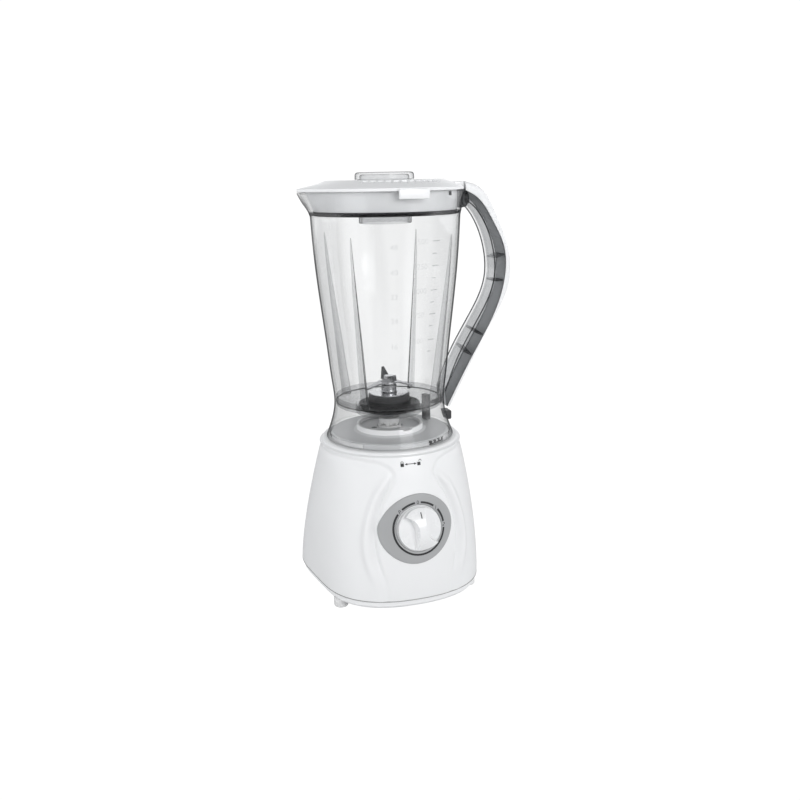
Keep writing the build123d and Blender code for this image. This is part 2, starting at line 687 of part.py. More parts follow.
def spout_wedge(inset):
    """The pouring lip: a pointed wedge that grows out of the collar towards -X."""
    half = sqrt(SPOUT_TIP ** 2 - RIM_R ** 2) * RIM_R / SPOUT_TIP
    root = RIM_R ** 2 / SPOUT_TIP
    tip_inset = inset * SPOUT_TIP / RIM_R
    with BuildPart() as wedge:
        with BuildSketch(Plane.XY.offset(RIM_Z)):
            Polygon(
                (-SPOUT_TIP + tip_inset, 0), (-root + inset * 0.4, half - inset),
                (-root + inset * 0.4, inset - half), align=None)
        with BuildSketch(Plane.XY.offset(COLLAR_LOW)):
            Polygon(
                (-COLLAR_LOW_R + tip_inset, 0), (-root + inset * 0.4, half - inset - 2),
                (-root + inset * 0.4, inset + 2 - half), align=None)
        loft()
    return wedge.part


# Handle outlines, side view: x outwards, z up
GRIP_INNER = [(76, 364), (91, 347), (101, 320), (102, 292), (87, 258), (65, 220), (53.5, 194)]
GRIP_OUTER = [(81, 371), (101, 346.5), (113, 321), (113.5, 293), (103, 260), (82.6, 224), (55, 176)]
COVER_OUTER = [(84, 379.5), (104, 353), (118, 318), (118.5, 288), (103, 256), (84, 223), (61, 180.5)]
HANDLE_WALL = 2.6
ROOT_X, ROOT_LOW = 49.8, 173.0
COLLAR_X, COLLAR_TOP = 67.8, 373.0

with BuildPart() as grip_pocket:
    with BuildSketch(Plane.XZ):
        with BuildLine():
            inner_side = parallel(GRIP_INNER, HANDLE_WALL)
            pocket_inner = Spline(*inner_side[:-1], (57.5, 187.0))
            beyond = [(x + 4, z) for x, z in GRIP_OUTER[:-1]]
            pocket_outer = Spline(*beyond, (61.5, 183.0))
            Line(pocket_inner @ 0, pocket_outer @ 0)
            Line(pocket_inner @ 1, pocket_outer @ 1)
        make_face()
    extrude(amount=HANDLE_HALF - 2.4, both=True)
    for rib_z in (214, 238, 262, 286, 310, 334):
        with Locations((95, 0, rib_z)):
            Box(90, 40, 2.0, mode=Mode.SUBTRACT)

with BuildPart() as jar_vessel:
    add(jar_solid(0, SKIRT_BOTTOM, RIM_Z))
    add(spout_wedge(0))
    with BuildSketch(Plane.XZ):
        with BuildLine():
            inner = Spline(*GRIP_INNER)
            outer = Spline(*GRIP_OUTER)
            Polyline(inner @ 0, (COLLAR_X, GRIP_INNER[0][1] + 3), (COLLAR_X, COLLAR_TOP), outer @ 0)
            Polyline(inner @ 1, (ROOT_X, 188), (ROOT_X, ROOT_LOW), outer @ 1)
        make_face()
    extrude(amount=HANDLE_HALF, both=True)
    add(grip_pocket.part, mode=Mode.SUBTRACT)
    add(jar_solid(JAR_WALL, FLOOR_TOP, RIM_Z), mode=Mode.SUBTRACT)
    add(jar_solid(JAR_WALL, SKIRT_BOTTOM, FLOOR_UNDER), mode=Mode.SUBTRACT)
    add(spout_wedge(JAR_WALL), mode=Mode.SUBTRACT)
    with BuildSketch(Plane.XY.offset(BOSS_LOW)):
        Circle(BOSS_OUTER)
        Circle(BOSS_INNER, mode=Mode.SUBTRACT)
    extrude(amount=FLOOR_UNDER - BOSS_LOW + 0.5)
    for angle in RIB_ANGLES:
        with BuildSketch(Plane(
                origin=(0, 0, 0), x_dir=(cos(radians(angle)), sin(radians(angle)), 0),
                z_dir=(sin(radians(angle)), -cos(radians(angle)), 0))):
            with BuildLine():
                Polyline(
                    (WAIST_R - JAR_WALL - 5.5, FLOOR_TOP - 0.5), (WAIST_R - 1, FLOOR_TOP - 0.5),
                    (53.2, 214), (62.0, 290), (66.0, RIB_TOP + 4), (63.4, RIB_TOP), close=True)
            make_face()
        extrude(amount=1.3, both=True)
    with Locations((0, 0, FLOOR_TOP)):
        Cylinder(TOWER_R + 0.3, 12, mode=Mode.SUBTRACT)
finish(jar_vessel, "jar_vessel")

with BuildPart() as handle_cover:
    with BuildSketch(Plane.XZ):
        with BuildLine():
            joint_side = Spline(*GRIP_OUTER)
            cover_side = Spline(*COVER_OUTER)
            Polyline(joint_side @ 0, (74.0, 374.5), (74.0, 382.0), cover_side @ 0)
            Line(joint_side @ 1, cover_side @ 1)
        make_face()
    extrude(amount=HANDLE_HALF, both=True)
finish(handle_cover, "handle_cover")

TAB_Z = 163.0
with BuildPart() as lock_tab:
    with Locations((57.8, 0, TAB_Z)):
        Box(7.4, 10, 8.8)
    fillet(lock_tab.edges().filter_by(Axis.Y).group_by(Axis.X)[-1], 1.5)
    add(jar_solid(0, SKIRT_BOTTOM, RIM_Z), mode=Mode.SUBTRACT)
finish(lock_tab, "lock_tab")

FINGER_TURN = 19.0
with BuildPart() as interlock_finger:
    with BuildSketch(Plane.XY.offset(FINGER_BOTTOM)):
        with Locations(Location((*INTERLOCK_PLACE, 0), (0, 0, FINGER_TURN))):
            Rectangle(4.6, 7.4)
    extrude(amount=FLOOR_UNDER - FINGER_BOTTOM)
finish(interlock_finger, "interlock_finger")

# ---------------------------------------------------------------- blade unit
BUSH_OUTER = 6.2
UNIT_LOW = 173.5
with BuildPart() as blade_carrier:
    with BuildSketch(Plane.XZ):
        with BuildLine():
            Polyline(
                (BUSH_OUTER, UNIT_LOW), (12, UNIT_LOW), (12, 175.5), (FLANGE_R, 175.5),
                (FLANGE_R, 179.3), (TOWER_R, 179.3), (TOWER_R, TOWER_TOP - 1), (TOWER_R - 1, TOWER_TOP),
                (BUSH_OUTER, TOWER_TOP), close=True)
        make_face()
    revolve(axis=Axis.Z)
    with BuildSketch(Plane.XY.offset(175.5)):
        with PolarLocations(24.5, 6):
            Circle(2.6)
    extrude(amount=1.6, mode=Mode.SUBTRACT)
finish(blade_carrier, "blade_carrier")

with BuildPart() as carrier_gasket:
    with BuildSketch(Plane.XY.offset(179.3)):
        Circle(FLANGE_R - 0.4)
        Circle(TOWER_R + 0.1, mode=Mode.SUBTRACT)
    extrude(amount=FLOOR_UNDER - 179.3)
finish(carrier_gasket, "carrier_gasket")

with BuildPart() as carrier_cap:
    with BuildSketch(Plane.XZ):
        with BuildLine():
            Polyline(
                (BUSH_OUTER, TOWER_TOP), (CAP_R, TOWER_TOP), (CAP_R, TOWER_TOP + 0.8),
                (HUB_R + 1.2, TOWER_TOP + 1.0), (HUB_R, TOWER_TOP + 2.2), (HUB_R, HUB_TOP - 0.8),
                (HUB_R - 0.8, HUB_TOP), (BUSH_OUTER, HUB_TOP), close=True)
        make_face()
    revolve(axis=Axis.Z)
finish(carrier_cap, "carrier_cap")

UPPER_BUSH_TOP = 194.8
SEAL_TOP = HUB_TOP - 0.2
for bush_name, low, high in (("lower_bush", UNIT_LOW, 183.0), ("upper_bush", 186.0, UPPER_BUSH_TOP)):
    with BuildPart() as bush:
        with Locations((0, 0, (low + high) / 2)):
            Cylinder(BUSH_OUTER, high - low)
            Cylinder(SHAFT_R + RUNNING, high - low, mode=Mode.SUBTRACT)
    finish(bush, bush_name)

with BuildPart() as shaft_seal:
    with Locations((0, 0, (UPPER_BUSH_TOP + SEAL_TOP) / 2)):
        Cylinder(BUSH_OUTER, SEAL_TOP - UPPER_BUSH_TOP)
        Cylinder(SHAFT_R + 0.3, SEAL_TOP - UPPER_BUSH_TOP, mode=Mode.SUBTRACT)
    with Locations((0, 0, SEAL_TOP)):
        Cylinder(5.4, 1.6, mode=Mode.SUBTRACT)
    with Locations((0, 0, SEAL_TOP - 0.4)):
        Cylinder(4.9, 0.8)
        Cylinder(SHAFT_R + 0.3, 0.8, mode=Mode.SUBTRACT)
finish(shaft_seal, "shaft_seal")

BLADE_SHAFT_LOW = 160.5
BLADE_THICK = 1.5
SPACER = 0.8
UPPER_BLADE_Z = BLADE_Z + BLADE_THICK + SPACER
NUT_LOW = UPPER_BLADE_Z + BLADE_THICK
NUT_HEIGHT = 3.0
with BuildPart() as blade_shaft:
    with Locations((0, 0, (BLADE_SHAFT_LOW + BLADE_Z - 1) / 2)):
        Cylinder(SHAFT_R, BLADE_Z - 1 - BLADE_SHAFT_LOW)
    with Locations((0, 0, (BLADE_Z - 1 + NUT_LOW + NUT_HEIGHT) / 2)):
        Cylinder(3.0, NUT_LOW + NUT_HEIGHT - BLADE_Z + 1)
    with Locations((0, 0, UNIT_LOW - 0.9)):
        Cylinder(SHAFT_R + 1, 0.9, mode=Mode.SUBTRACT)
        Cylinder(SHAFT_R - 0.6, 0.9)
finish(blade_shaft, "blade_shaft")

with BuildPart() as shaft_clip:
    with BuildSketch(Plane.XY.offset(UNIT_LOW - 1.3)):
        Circle(6.4)
        Circle(SHAFT_R - 0.6, mode=Mode.SUBTRACT)
        with Locations((5, 0)):
            Rectangle(8, 3.4, mode=Mode.SUBTRACT)
    extrude(amount=0.8)
finish(shaft_clip, "shaft_clip")


def blade(name, low, kink, rise, arm, turn):
    """A two-armed blade: flat over the shaft, then bent by rise over the rest of its reach."""
    reach = max(x for x, _ in arm)
    with BuildPart() as piece:
        with BuildSketch(Plane.XZ):
            with BuildLine():
                Polyline(
                    (-reach, low + rise), (-kink, low), (kink, low), (reach, low + rise),
                    (reach, low + rise + BLADE_THICK), (kink, low + BLADE_THICK),
                    (-kink, low + BLADE_THICK), (-reach, low + rise + BLADE_THICK), close=True)
            make_face()
        extrude(amount=8, both=True)
        with BuildSketch(Plane.XY.offset(low + min(rise, 0) - 2)):
            Polygon(*arm, *[(-x, -y) for x, y in arm], align=None)
            Circle(3.05, mode=Mode.SUBTRACT)
        extrude(amount=abs(rise) + 8, mode=Mode.INTERSECT)
    piece.part = piece.part.rotate(Axis.Z, turn)
    finish(piece, name)


LOWER_ARM = [(8.0, -5.8), (22.0, -1.4), (21.4, 3.6), (8.0, 5.8)]
UPPER_ARM = [(7.5, -4.4), (20.2, -4.0), (20.0, -1.4), (7.5, 4.8)]
blade("lower_blade", BLADE_Z, 8.0, -5.2, LOWER_ARM, -2)
blade("upper_blade", UPPER_BLADE_Z, 7.5, 7.6, UPPER_ARM, 96)

with BuildPart() as blade_spacer:
    with Locations((0, 0, BLADE_Z + BLADE_THICK + SPACER / 2)):
        Cylinder(5.4, SPACER)
        Cylinder(3.05, SPACER, mode=Mode.SUBTRACT)
finish(blade_spacer, "blade_spacer")

with BuildPart() as blade_washer:
    with Locations((0, 0, BLADE_Z - 0.5)):
        Cylinder(6.4, 1.0)
        Cylinder(3.05, 1.0, mode=Mode.SUBTRACT)
finish(blade_washer, "blade_washer")

with BuildPart() as blade_nut:
    with BuildSketch(Plane.XY.offset(NUT_LOW)):
        RegularPolygon(4.8, 6)
        Circle(3.0, mode=Mode.SUBTRACT)
    extrude(amount=NUT_HEIGHT)
finish(blade_nut, "blade_nut")

with BuildPart() as driven_coupling:
    with BuildSketch(Plane.XY.offset(CUP_LOW + 1.6 + LOBE_CLEARANCE)):
        Circle(6.4 - LOBE_CLEARANCE)
        with PolarLocations(7.4, LOBES):
            Rectangle(3.6, 3.6 - 2 * LOBE_CLEARANCE)
    extrude(amount=6.4)
    with BuildSketch(Plane.XY.offset(CUP_LOW + 1.6 + LOBE_CLEARANCE + 6.4)):
        Circle(9.6)
    extrude(amount=4.6)
    with Locations((0, 0, BLADE_SHAFT_LOW + 10)):
        Cylinder(SHAFT_R, 20, mode=Mode.SUBTRACT)
finish(driven_coupling, "driven_coupling")

# ---------------------------------------------------------------- lid and measuring cap
LID_RIM_LOW = RIM_Z + LID_GAP


def slope_height(r):
    """Height of the lid's sloping rim at a radius."""
    return LID_TOP - (r - LID_FLAT_R) * (LID_TOP - LID_RIM_LOW - 2.6) / (RIM_R - 0.1 - LID_FLAT_R)


VENT_SPREAD = degrees(2 * VENT_WIDE / (VENT_IN + VENT_OUT))
with BuildPart() as vent:
    with BuildSketch(Plane.XZ):
        Polygon(
            (VENT_IN, slope_height(VENT_IN) - VENT_DEEP), (VENT_OUT, slope_height(VENT_OUT) - VENT_DEEP),
            (VENT_OUT, LID_TOP + 1), (VENT_IN, LID_TOP + 1), align=None)
    revolve(axis=Axis.Z, revolution_arc=VENT_SPREAD)
LUG_START, HANDLE_LUG_END = 63.5, 73.4   # short lug that reaches to the handle's head
with BuildPart() as lid_shell:
    with BuildSketch(Plane.XZ):
        with BuildLine():
            Polyline(
                (CAP_HOLE_R, LID_TOP - 2.4), (LID_FLAT_R - 1.2, LID_TOP - 2.4), (PLUG_R - 2.2, 378.6),
                (PLUG_R - 2.2, PLUG_LOW), (PLUG_R, PLUG_LOW), (PLUG_R, LID_RIM_LOW),
                (RIM_R - 0.1, LID_RIM_LOW), (RIM_R - 0.1, LID_RIM_LOW + 2.6), (LID_FLAT_R, LID_TOP),
                (CAP_HOLE_R, LID_TOP), close=True)
        make_face()
    revolve(axis=Axis.Z)
    with BuildSketch(Plane.XY.offset(LID_RIM_LOW)):
        half = sqrt(SPOUT_TIP ** 2 - RIM_R ** 2) * RIM_R / SPOUT_TIP
        root = RIM_R ** 2 / SPOUT_TIP
        Polygon((-SPOUT_TIP, 0), (-root, -half), (-root, half), align=None)
        Circle(PLUG_R, mode=Mode.SUBTRACT)
    extrude(amount=2.8, taper=8)
    with BuildSketch(Plane.XY.offset(LID_RIM_LOW - 6.2)):
        with Locations((TAB_SHIFT, -RIM_R - 2.1)):
            RectangleRounded(26.6, 2.6, 1.2)
    extrude(amount=7.8)
    with BuildSketch(Plane.XY.offset(LID_RIM_LOW)):
        with Locations((TAB_SHIFT, -RIM_R)):
            Rectangle(26.6, 6)
        Circle(PLUG_R, mode=Mode.SUBTRACT)
    extrude(amount=1.6)
    for middle in (-90, 90):
        first = middle - VENT_PITCH * (VENTS - 1) / 2 - VENT_SPREAD / 2
        with PolarLocations(0, VENTS, start_angle=first, angular_range=VENT_PITCH * VENTS):
            add(vent.part, mode=Mode.SUBTRACT)
    with BuildSketch(Plane.XY.offset(NECK_LOW)):
        Circle(NECK_R)
        Circle(CAP_HOLE_R, mode=Mode.SUBTRACT)
    extrude(amount=LID_TOP - 2 - NECK_LOW)
    with Locations((HANDLE_LUG_END / 2 + LUG_START / 2, 0, LID_RIM_LOW + 3.2)):
        Box(HANDLE_LUG_END - LUG_START, 18, 5.6)
finish(lid_shell, "lid_shell")

with BuildPart() as lid_gasket:
    with BuildSketch(Plane.XY.offset(PLUG_LOW - 3.6)):
        Circle(PLUG_R)
        Circle(PLUG_R - 2.6, mode=Mode.SUBTRACT)
    extrude(amount=3.6)
finish(lid_gasket, "lid_gasket")

CAP_R_LOW = 23.0
CAP_WALL = 1.8
with BuildPart() as measuring_cap:
    with BuildSketch(Plane.XZ):
        with BuildLine():
            Polyline(
                (0, MEASURE_TOP), (MEASURE_R - 2.2, MEASURE_TOP), (MEASURE_R - 1.2, MEASURE_TOP - 1.0),
                (MEASURE_R, LID_TOP + 0.4), (CAP_HOLE_R - 0.5, LID_TOP + 0.4), (CAP_R_LOW, MEASURE_LOW),
                (CAP_R_LOW - CAP_WALL, MEASURE_LOW), (CAP_HOLE_R - 0.5 - CAP_WALL, LID_TOP),
                (CAP_HOLE_R - 0.5 - CAP_WALL, MEASURE_TOP - 2.0), (0, MEASURE_TOP - 2.0), close=True)
        make_face()
    revolve(axis=Axis.Z)
finish(measuring_cap, "measuring_cap")
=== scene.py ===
"""Looks of the countertop blender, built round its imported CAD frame.

Sizes below are in millimetres, in the frame of the CAD model: +Z up, the drive axis on Z,
the knob towards -Y, the spout towards -X and the handle towards +X.  mesh_piece() turns
them into metres.
"""
import json
from math import cos, pi, radians, sin, tau

import bpy
import numpy as np
from mathutils import Matrix, Vector


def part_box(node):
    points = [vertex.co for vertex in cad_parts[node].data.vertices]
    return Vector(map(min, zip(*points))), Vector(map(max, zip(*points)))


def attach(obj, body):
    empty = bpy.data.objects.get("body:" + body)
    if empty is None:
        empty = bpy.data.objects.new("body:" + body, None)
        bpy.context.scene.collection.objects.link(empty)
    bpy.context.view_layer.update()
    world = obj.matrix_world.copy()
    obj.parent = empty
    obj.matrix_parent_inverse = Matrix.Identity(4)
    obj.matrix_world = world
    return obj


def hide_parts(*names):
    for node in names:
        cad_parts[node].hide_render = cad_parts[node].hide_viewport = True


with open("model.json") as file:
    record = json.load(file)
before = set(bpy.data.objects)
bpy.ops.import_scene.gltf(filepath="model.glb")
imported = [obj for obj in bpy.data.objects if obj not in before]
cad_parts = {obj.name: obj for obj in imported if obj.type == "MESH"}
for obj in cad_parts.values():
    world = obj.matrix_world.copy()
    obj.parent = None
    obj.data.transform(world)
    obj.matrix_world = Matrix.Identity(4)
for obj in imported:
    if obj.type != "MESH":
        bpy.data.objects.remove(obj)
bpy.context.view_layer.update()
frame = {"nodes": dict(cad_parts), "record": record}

MM = 0.001


# ---------------------------------------------------------------- camera, light and floor
def make_camera():
    """A 39 mm lens at the height of the lid, turned to the object's front left."""
    azimuth, pitch, roll = radians(-18.5), radians(14.3), radians(1.05)
    distance, height, aside = 0.800, 0.386, 0.0103
    right = Vector((cos(azimuth), sin(azimuth), 0))
    back = Vector((sin(azimuth), -cos(azimuth), 0))
    data = bpy.data.cameras.new("camera")
    data.lens = 39.15
    data.sensor_width = 36
    camera = bpy.data.objects.new("camera", data)
    bpy.context.scene.collection.objects.link(camera)
    turn = Matrix.Rotation(azimuth, 4, "Z") @ Matrix.Rotation(pi / 2 - pitch, 4, "X")
    camera.matrix_world = (
        Matrix.Translation(back * distance + right * aside + Vector((0, 0, height)))
        @ turn @ Matrix.Rotation(-roll, 4, "Z"))
    bpy.context.scene.camera = camera


def area_light(name, place, target, width, height, power):
    """A soft rectangular lamp at place, aimed at target, both in metres."""
    data = bpy.data.lights.new(name, "AREA")
    data.shape = "RECTANGLE"
    data.size = width
    data.size_y = height
    data.energy = power
    lamp = bpy.data.objects.new(name, data)
    bpy.context.scene.collection.objects.link(lamp)
    lamp.location = place
    lamp.visible_glossy = name in ("key", "back")
    lamp.rotation_euler = (Vector(target) - Vector(place)).to_track_quat("-Z", "Y").to_euler()


def make_studio():
    """A white sweep: bright behind the object, dim as light on it, with soft boxes in front."""
    bpy.context.scene.view_settings.view_transform = "Standard"
    world = bpy.data.worlds.new("studio")
    bpy.context.scene.world = world
    world.use_nodes = True
    tree = world.node_tree
    seen = tree.nodes["Background"]
    seen.inputs["Color"].default_value = (1, 1, 1, 1)
    seen.inputs["Strength"].default_value = 1.05
    lit = tree.nodes.new("ShaderNodeBackground")
    lit.inputs["Strength"].default_value = 1.0
    height = tree.nodes.new("ShaderNodeSeparateXYZ")
    tree.links.new(tree.nodes.new("ShaderNodeTexCoord").outputs["Generated"], height.inputs[0])
    sky = tree.nodes.new("ShaderNodeValToRGB")
    sky.color_ramp.elements[0].color = (1.14, 1.15, 1.17, 1)
    sky.color_ramp.elements[1].position = 0.9
    sky.color_ramp.elements[1].color = (0.26, 0.265, 0.27, 1)
    tree.links.new(height.outputs["Z"], sky.inputs["Fac"])
    tree.links.new(sky.outputs["Color"], lit.inputs["Color"])
    path = tree.nodes.new("ShaderNodeLightPath")
    mix = tree.nodes.new("ShaderNodeMixShader")
    tree.links.new(path.outputs["Is Camera Ray"], mix.inputs["Fac"])
    tree.links.new(lit.outputs[0], mix.inputs[1])
    tree.links.new(seen.outputs[0], mix.inputs[2])
    tree.links.new(mix.outputs[0], tree.nodes["World Output"].inputs["Surface"])
    area_light("key", (0.35, -1.4, 0.75), (0, 0, 0.15), 0.7, 0.7, 8.3)
    area_light("left_strip", (-1.2, -0.35, 0.5), (0, 0, 0.22), 0.25, 1.1, 4.2)
    area_light("right_strip", (1.3, -0.5, 0.45), (0, 0, 0.25), 0.3, 0.9, 1.8)
    area_light("back", (0.3, 1.4, 0.8), (0, 0, 0.2), 1.2, 0.8, 1.2)


def make_floor():
    """A white table top that is as bright to the eye as the sweep, so that no horizon shows."""
    size = 3.0
    mesh = bpy.data.meshes.new("floor")
    mesh.from_pydata([(x * size, y * size, 0) for x, y in ((-1, -1), (1, -1), (1, 1), (-1, 1))],
                     [], [(0, 1, 2, 3)])
    floor = bpy.data.objects.new("floor", mesh)
    bpy.context.scene.collection.objects.link(floor)
    material = bpy.data.materials.new("floor_white")
    material.use_nodes = True
    tree = material.node_tree
    paper = tree.nodes["Principled BSDF"]
    paper.inputs["Base Color"].default_value = (0.8, 0.8, 0.8, 1)
    paper.inputs["Roughness"].default_value = 0.9
    paper.inputs["Specular IOR Level"].default_value = 0.0
    glow = tree.nodes.new("ShaderNodeEmission")
    glow.inputs["Strength"].default_value = 1.05
    path = tree.nodes.new("ShaderNodeLightPath")
    mix = tree.nodes.new("ShaderNodeMixShader")
    tree.links.new(path.outputs["Is Camera Ray"], mix.inputs["Fac"])
    tree.links.new(paper.outputs[0], mix.inputs[1])
    tree.links.new(glow.outputs[0], mix.inputs[2])
    tree.links.new(mix.outputs[0], tree.nodes["Material Output"].inputs["Surface"])
    floor.data.materials.append(material)


make_camera()
make_studio()
make_floor()


# ---------------------------------------------------------------- materials
class Recipe:
    """A node material under construction, with short calls for the nodes used here."""

    def __init__(self, name):
        self.material = bpy.data.materials.new(name)
        self.material.use_nodes = True
        self.tree = self.material.node_tree
        self.tree.nodes.clear()
        self.output = self.add("ShaderNodeOutputMaterial")
        self.place = self.add("ShaderNodeTexCoord").outputs["Object"]

    def add(self, kind, **settings):
        node = self.tree.nodes.new(kind)
        for key, value in settings.items():
            setattr(node, key, value)
        return node

    def link(self, source, target):
        self.tree.links.new(source, target)

    def scaled_place(self, scale):
        """Object coordinates stretched by a scale for each axis."""
        mapping = self.add("ShaderNodeMapping")
        mapping.inputs["Scale"].default_value = scale
        self.link(self.place, mapping.inputs["Vector"])
        return mapping.outputs["Vector"]

    def noise(self, scale, detail=3.0, stretch=None):
        """Noise of about 1/scale metres; stretch gives a direction to the grain."""
        node = self.add("ShaderNodeTexNoise")
        node.inputs["Scale"].default_value = scale
        node.inputs["Detail"].default_value = detail
        source = self.place if stretch is None else self.scaled_place(stretch)
        self.link(source, node.inputs["Vector"])
        return node.outputs["Fac"]

    def ramp(self, factor, *stops):
        """A colour or grey that follows factor through (place, value) stops."""
        node = self.add("ShaderNodeValToRGB")
        elements = node.color_ramp.elements
        while len(elements) < len(stops):
            elements.new(0.5)
        for element, (place, value) in zip(elements, stops):
            element.position = place
            colour = value if hasattr(value, "__len__") else (value, value, value)
            element.color = (*colour, 1)
        self.link(factor, node.inputs["Fac"])
        return node.outputs["Color"]

    def bump(self, height, strength, distance):
        node = self.add("ShaderNodeBump")
        node.inputs["Strength"].default_value = strength
        node.inputs["Distance"].default_value = distance
        self.link(height, node.inputs["Height"])
        return node.outputs["Normal"]

    def principled(self, **inputs):
        """A Principled shader; numbers and colours are set, sockets are linked."""
        node = self.add("ShaderNodeBsdfPrincipled")
        for key, value in inputs.items():
            socket = node.inputs[key.replace("_", " ")]
            if isinstance(value, bpy.types.NodeSocket):
                self.link(value, socket)
            else:
                socket.default_value = value
        return node

    def done(self, shader):
        self.link(shader.outputs[0], self.output.inputs["Surface"])
        return self.material


def tone(colour, factor):
    """A colour made lighter or darker."""
    return tuple(min(1.0, c * factor) for c in colour)


def moulded(name, colour, roughness=0.35, grain=0.02, cloud=0.03, coat=0.0):
    """Injection-moulded plastic: faint clouding, a fine moulded texture and even gloss."""
    recipe = Recipe(name)
    clouds = recipe.noise(28, 4)
    base = recipe.ramp(clouds, (0.3, tone(colour, 1 - cloud)), (0.7, tone(colour, 1 + cloud * 0.4)))
    texture = recipe.noise(2600, 2)
    rough = recipe.ramp(recipe.noise(160, 3), (0.3, roughness * 0.9), (0.7, roughness * 1.12))
    normal = recipe.bump(texture, grain * 5, 0.00004)
    return recipe.done(recipe.principled(
        Base_Color=base, Roughness=rough, Normal=normal, Coat_Weight=coat, Coat_Roughness=0.12))


def rubbery(name, colour):
    """Rubber or silicone: matt, dusty in patches, with a pebbled skin."""
    recipe = Recipe(name)
    base = recipe.ramp(recipe.noise(90, 5), (0.3, tone(colour, 0.85)), (0.75, tone(colour, 1.15)))
    normal = recipe.bump(recipe.noise(1400, 3), 0.35, 0.00008)
    return recipe.done(recipe.principled(
        Base_Color=base, Roughness=0.72, Normal=normal, Specular_IOR_Level=0.3))


def metal(name, colour, roughness, stretch=(1, 1, 1), scale=900, depth=0.25):
    """Worked metal: grain along one direction, with uneven shine."""
    recipe = Recipe(name)
    grain = recipe.noise(scale, 5, stretch)
    base = recipe.ramp(grain, (0.25, tone(colour, 0.82)), (0.75, tone(colour, 1.08)))
    rough = recipe.ramp(grain, (0.2, roughness * 0.7), (0.8, roughness * 1.35))
    normal = recipe.bump(grain, depth, 0.00005)
    return recipe.done(recipe.principled(
        Base_Color=base, Roughness=rough, Normal=normal, Metallic=1.0))


def laminated(name, colour, sheet=0.0011):
    """A stack of varnished steel sheets: fine bands along Z."""
    recipe = Recipe(name)
    bands = recipe.add("ShaderNodeTexWave", wave_type="BANDS", bands_direction="Z")
    bands.inputs["Scale"].default_value = 0.31 / sheet
    bands.inputs["Distortion"].default_value = 0.3
    recipe.link(recipe.place, bands.inputs["Vector"])
    base = recipe.ramp(bands.outputs["Fac"], (0.2, tone(colour, 0.6)), (0.6, colour))
    normal = recipe.bump(bands.outputs["Fac"], 0.5, 0.0002)
    return recipe.done(recipe.principled(
        Base_Color=base, Roughness=0.4, Normal=normal, Metallic=0.8))


def wound(name, colour):
    """Enamelled wire lying side by side."""
    recipe = Recipe(name)
    turns = recipe.add("ShaderNodeTexWave", wave_type="BANDS", bands_direction="DIAGONAL")
    turns.inputs["Scale"].default_value = 420
    turns.inputs["Distortion"].default_value = 1.2
    recipe.link(recipe.place, turns.inputs["Vector"])
    base = recipe.ramp(turns.outputs["Fac"], (0.15, tone(colour, 0.4)), (0.6, colour))
    normal = recipe.bump(turns.outputs["Fac"], 0.8, 0.0003)
    return recipe.done(recipe.principled(
        Base_Color=base, Roughness=0.28, Normal=normal, Metallic=0.9, Coat_Weight=0.4))


def clear(name, tint, edge, rim, milk=0.0, painted_reflection_streaks=0.03, gloss_limit=0.1):
    """Clear moulded plastic: see-through face on, with a painted dark edge, standing in for dark refraction, where a
    wall is seen edge on.

    rim lists (facing, darkness) stops of that painted dark edge, from 0 face on to 1 edge on; milk adds a white haze.
    """
    recipe = Recipe(name)
    # Faint vertical streaks in the tint: painted reflection bands.
    flow = recipe.noise(30, 2, (1, 1, 0.05))
    through = recipe.add("ShaderNodeBsdfTransparent")
    recipe.link(recipe.ramp(flow, (0.42, tone(tint, 1 - painted_reflection_streaks)), (0.56, tint)), through.inputs["Color"])
    haze = recipe.add("ShaderNodeBsdfDiffuse")
    haze.inputs["Color"].default_value = (0.92, 0.925, 0.93, 1)
    misty = recipe.add("ShaderNodeMixShader")
    misty.inputs["Fac"].default_value = milk
    recipe.link(through.outputs[0], misty.inputs[1])
    recipe.link(haze.outputs[0], misty.inputs[2])
    # Painted dark refraction: a dark diffuse of colour edge, mixed in by how edge-on the wall is seen.
    dark = recipe.add("ShaderNodeBsdfDiffuse")
    dark.inputs["Color"].default_value = (*edge, 1)
    facing = recipe.add("ShaderNodeLayerWeight")
    facing.inputs["Blend"].default_value = 0.5
    body = recipe.add("ShaderNodeMixShader")
    recipe.link(recipe.ramp(facing.outputs["Facing"], *rim), body.inputs["Fac"])
    recipe.link(misty.outputs[0], body.inputs[1])
    recipe.link(dark.outputs[0], body.inputs[2])
    gloss = recipe.add("ShaderNodeBsdfGlossy")
    gloss.inputs["Color"].default_value = (1, 1, 1, 1)
    gloss.inputs["Roughness"].default_value = 0.05
    recipe.link(recipe.bump(recipe.noise(60, 2), 0.15, 0.0004), gloss.inputs["Normal"])
    fresnel = recipe.add("ShaderNodeFresnel")
    fresnel.inputs["IOR"].default_value = 1.45
    sheen = recipe.ramp(fresnel.outputs[0], (0.0, 0.0), (0.3, gloss_limit), (1.0, gloss_limit))
    surface = recipe.add("ShaderNodeMixShader")
    recipe.link(sheen, surface.inputs["Fac"])
    recipe.link(body.outputs[0], surface.inputs[1])
    recipe.link(gloss.outputs[0], surface.inputs[2])
    return recipe.done(surface)


def printed(name, colour, roughness=0.45):
    """Pad-printed ink: nearly even, with a slightly broken film."""
    recipe = Recipe(name)
    base = recipe.ramp(recipe.noise(900, 4), (0.3, colour), (0.8, tone(colour, 1.6)))
    return recipe.done(recipe.principled(
        Base_Color=base, Roughness=roughness, Normal=recipe.bump(recipe.noise(2200, 2), 0.2, 0.00003)))


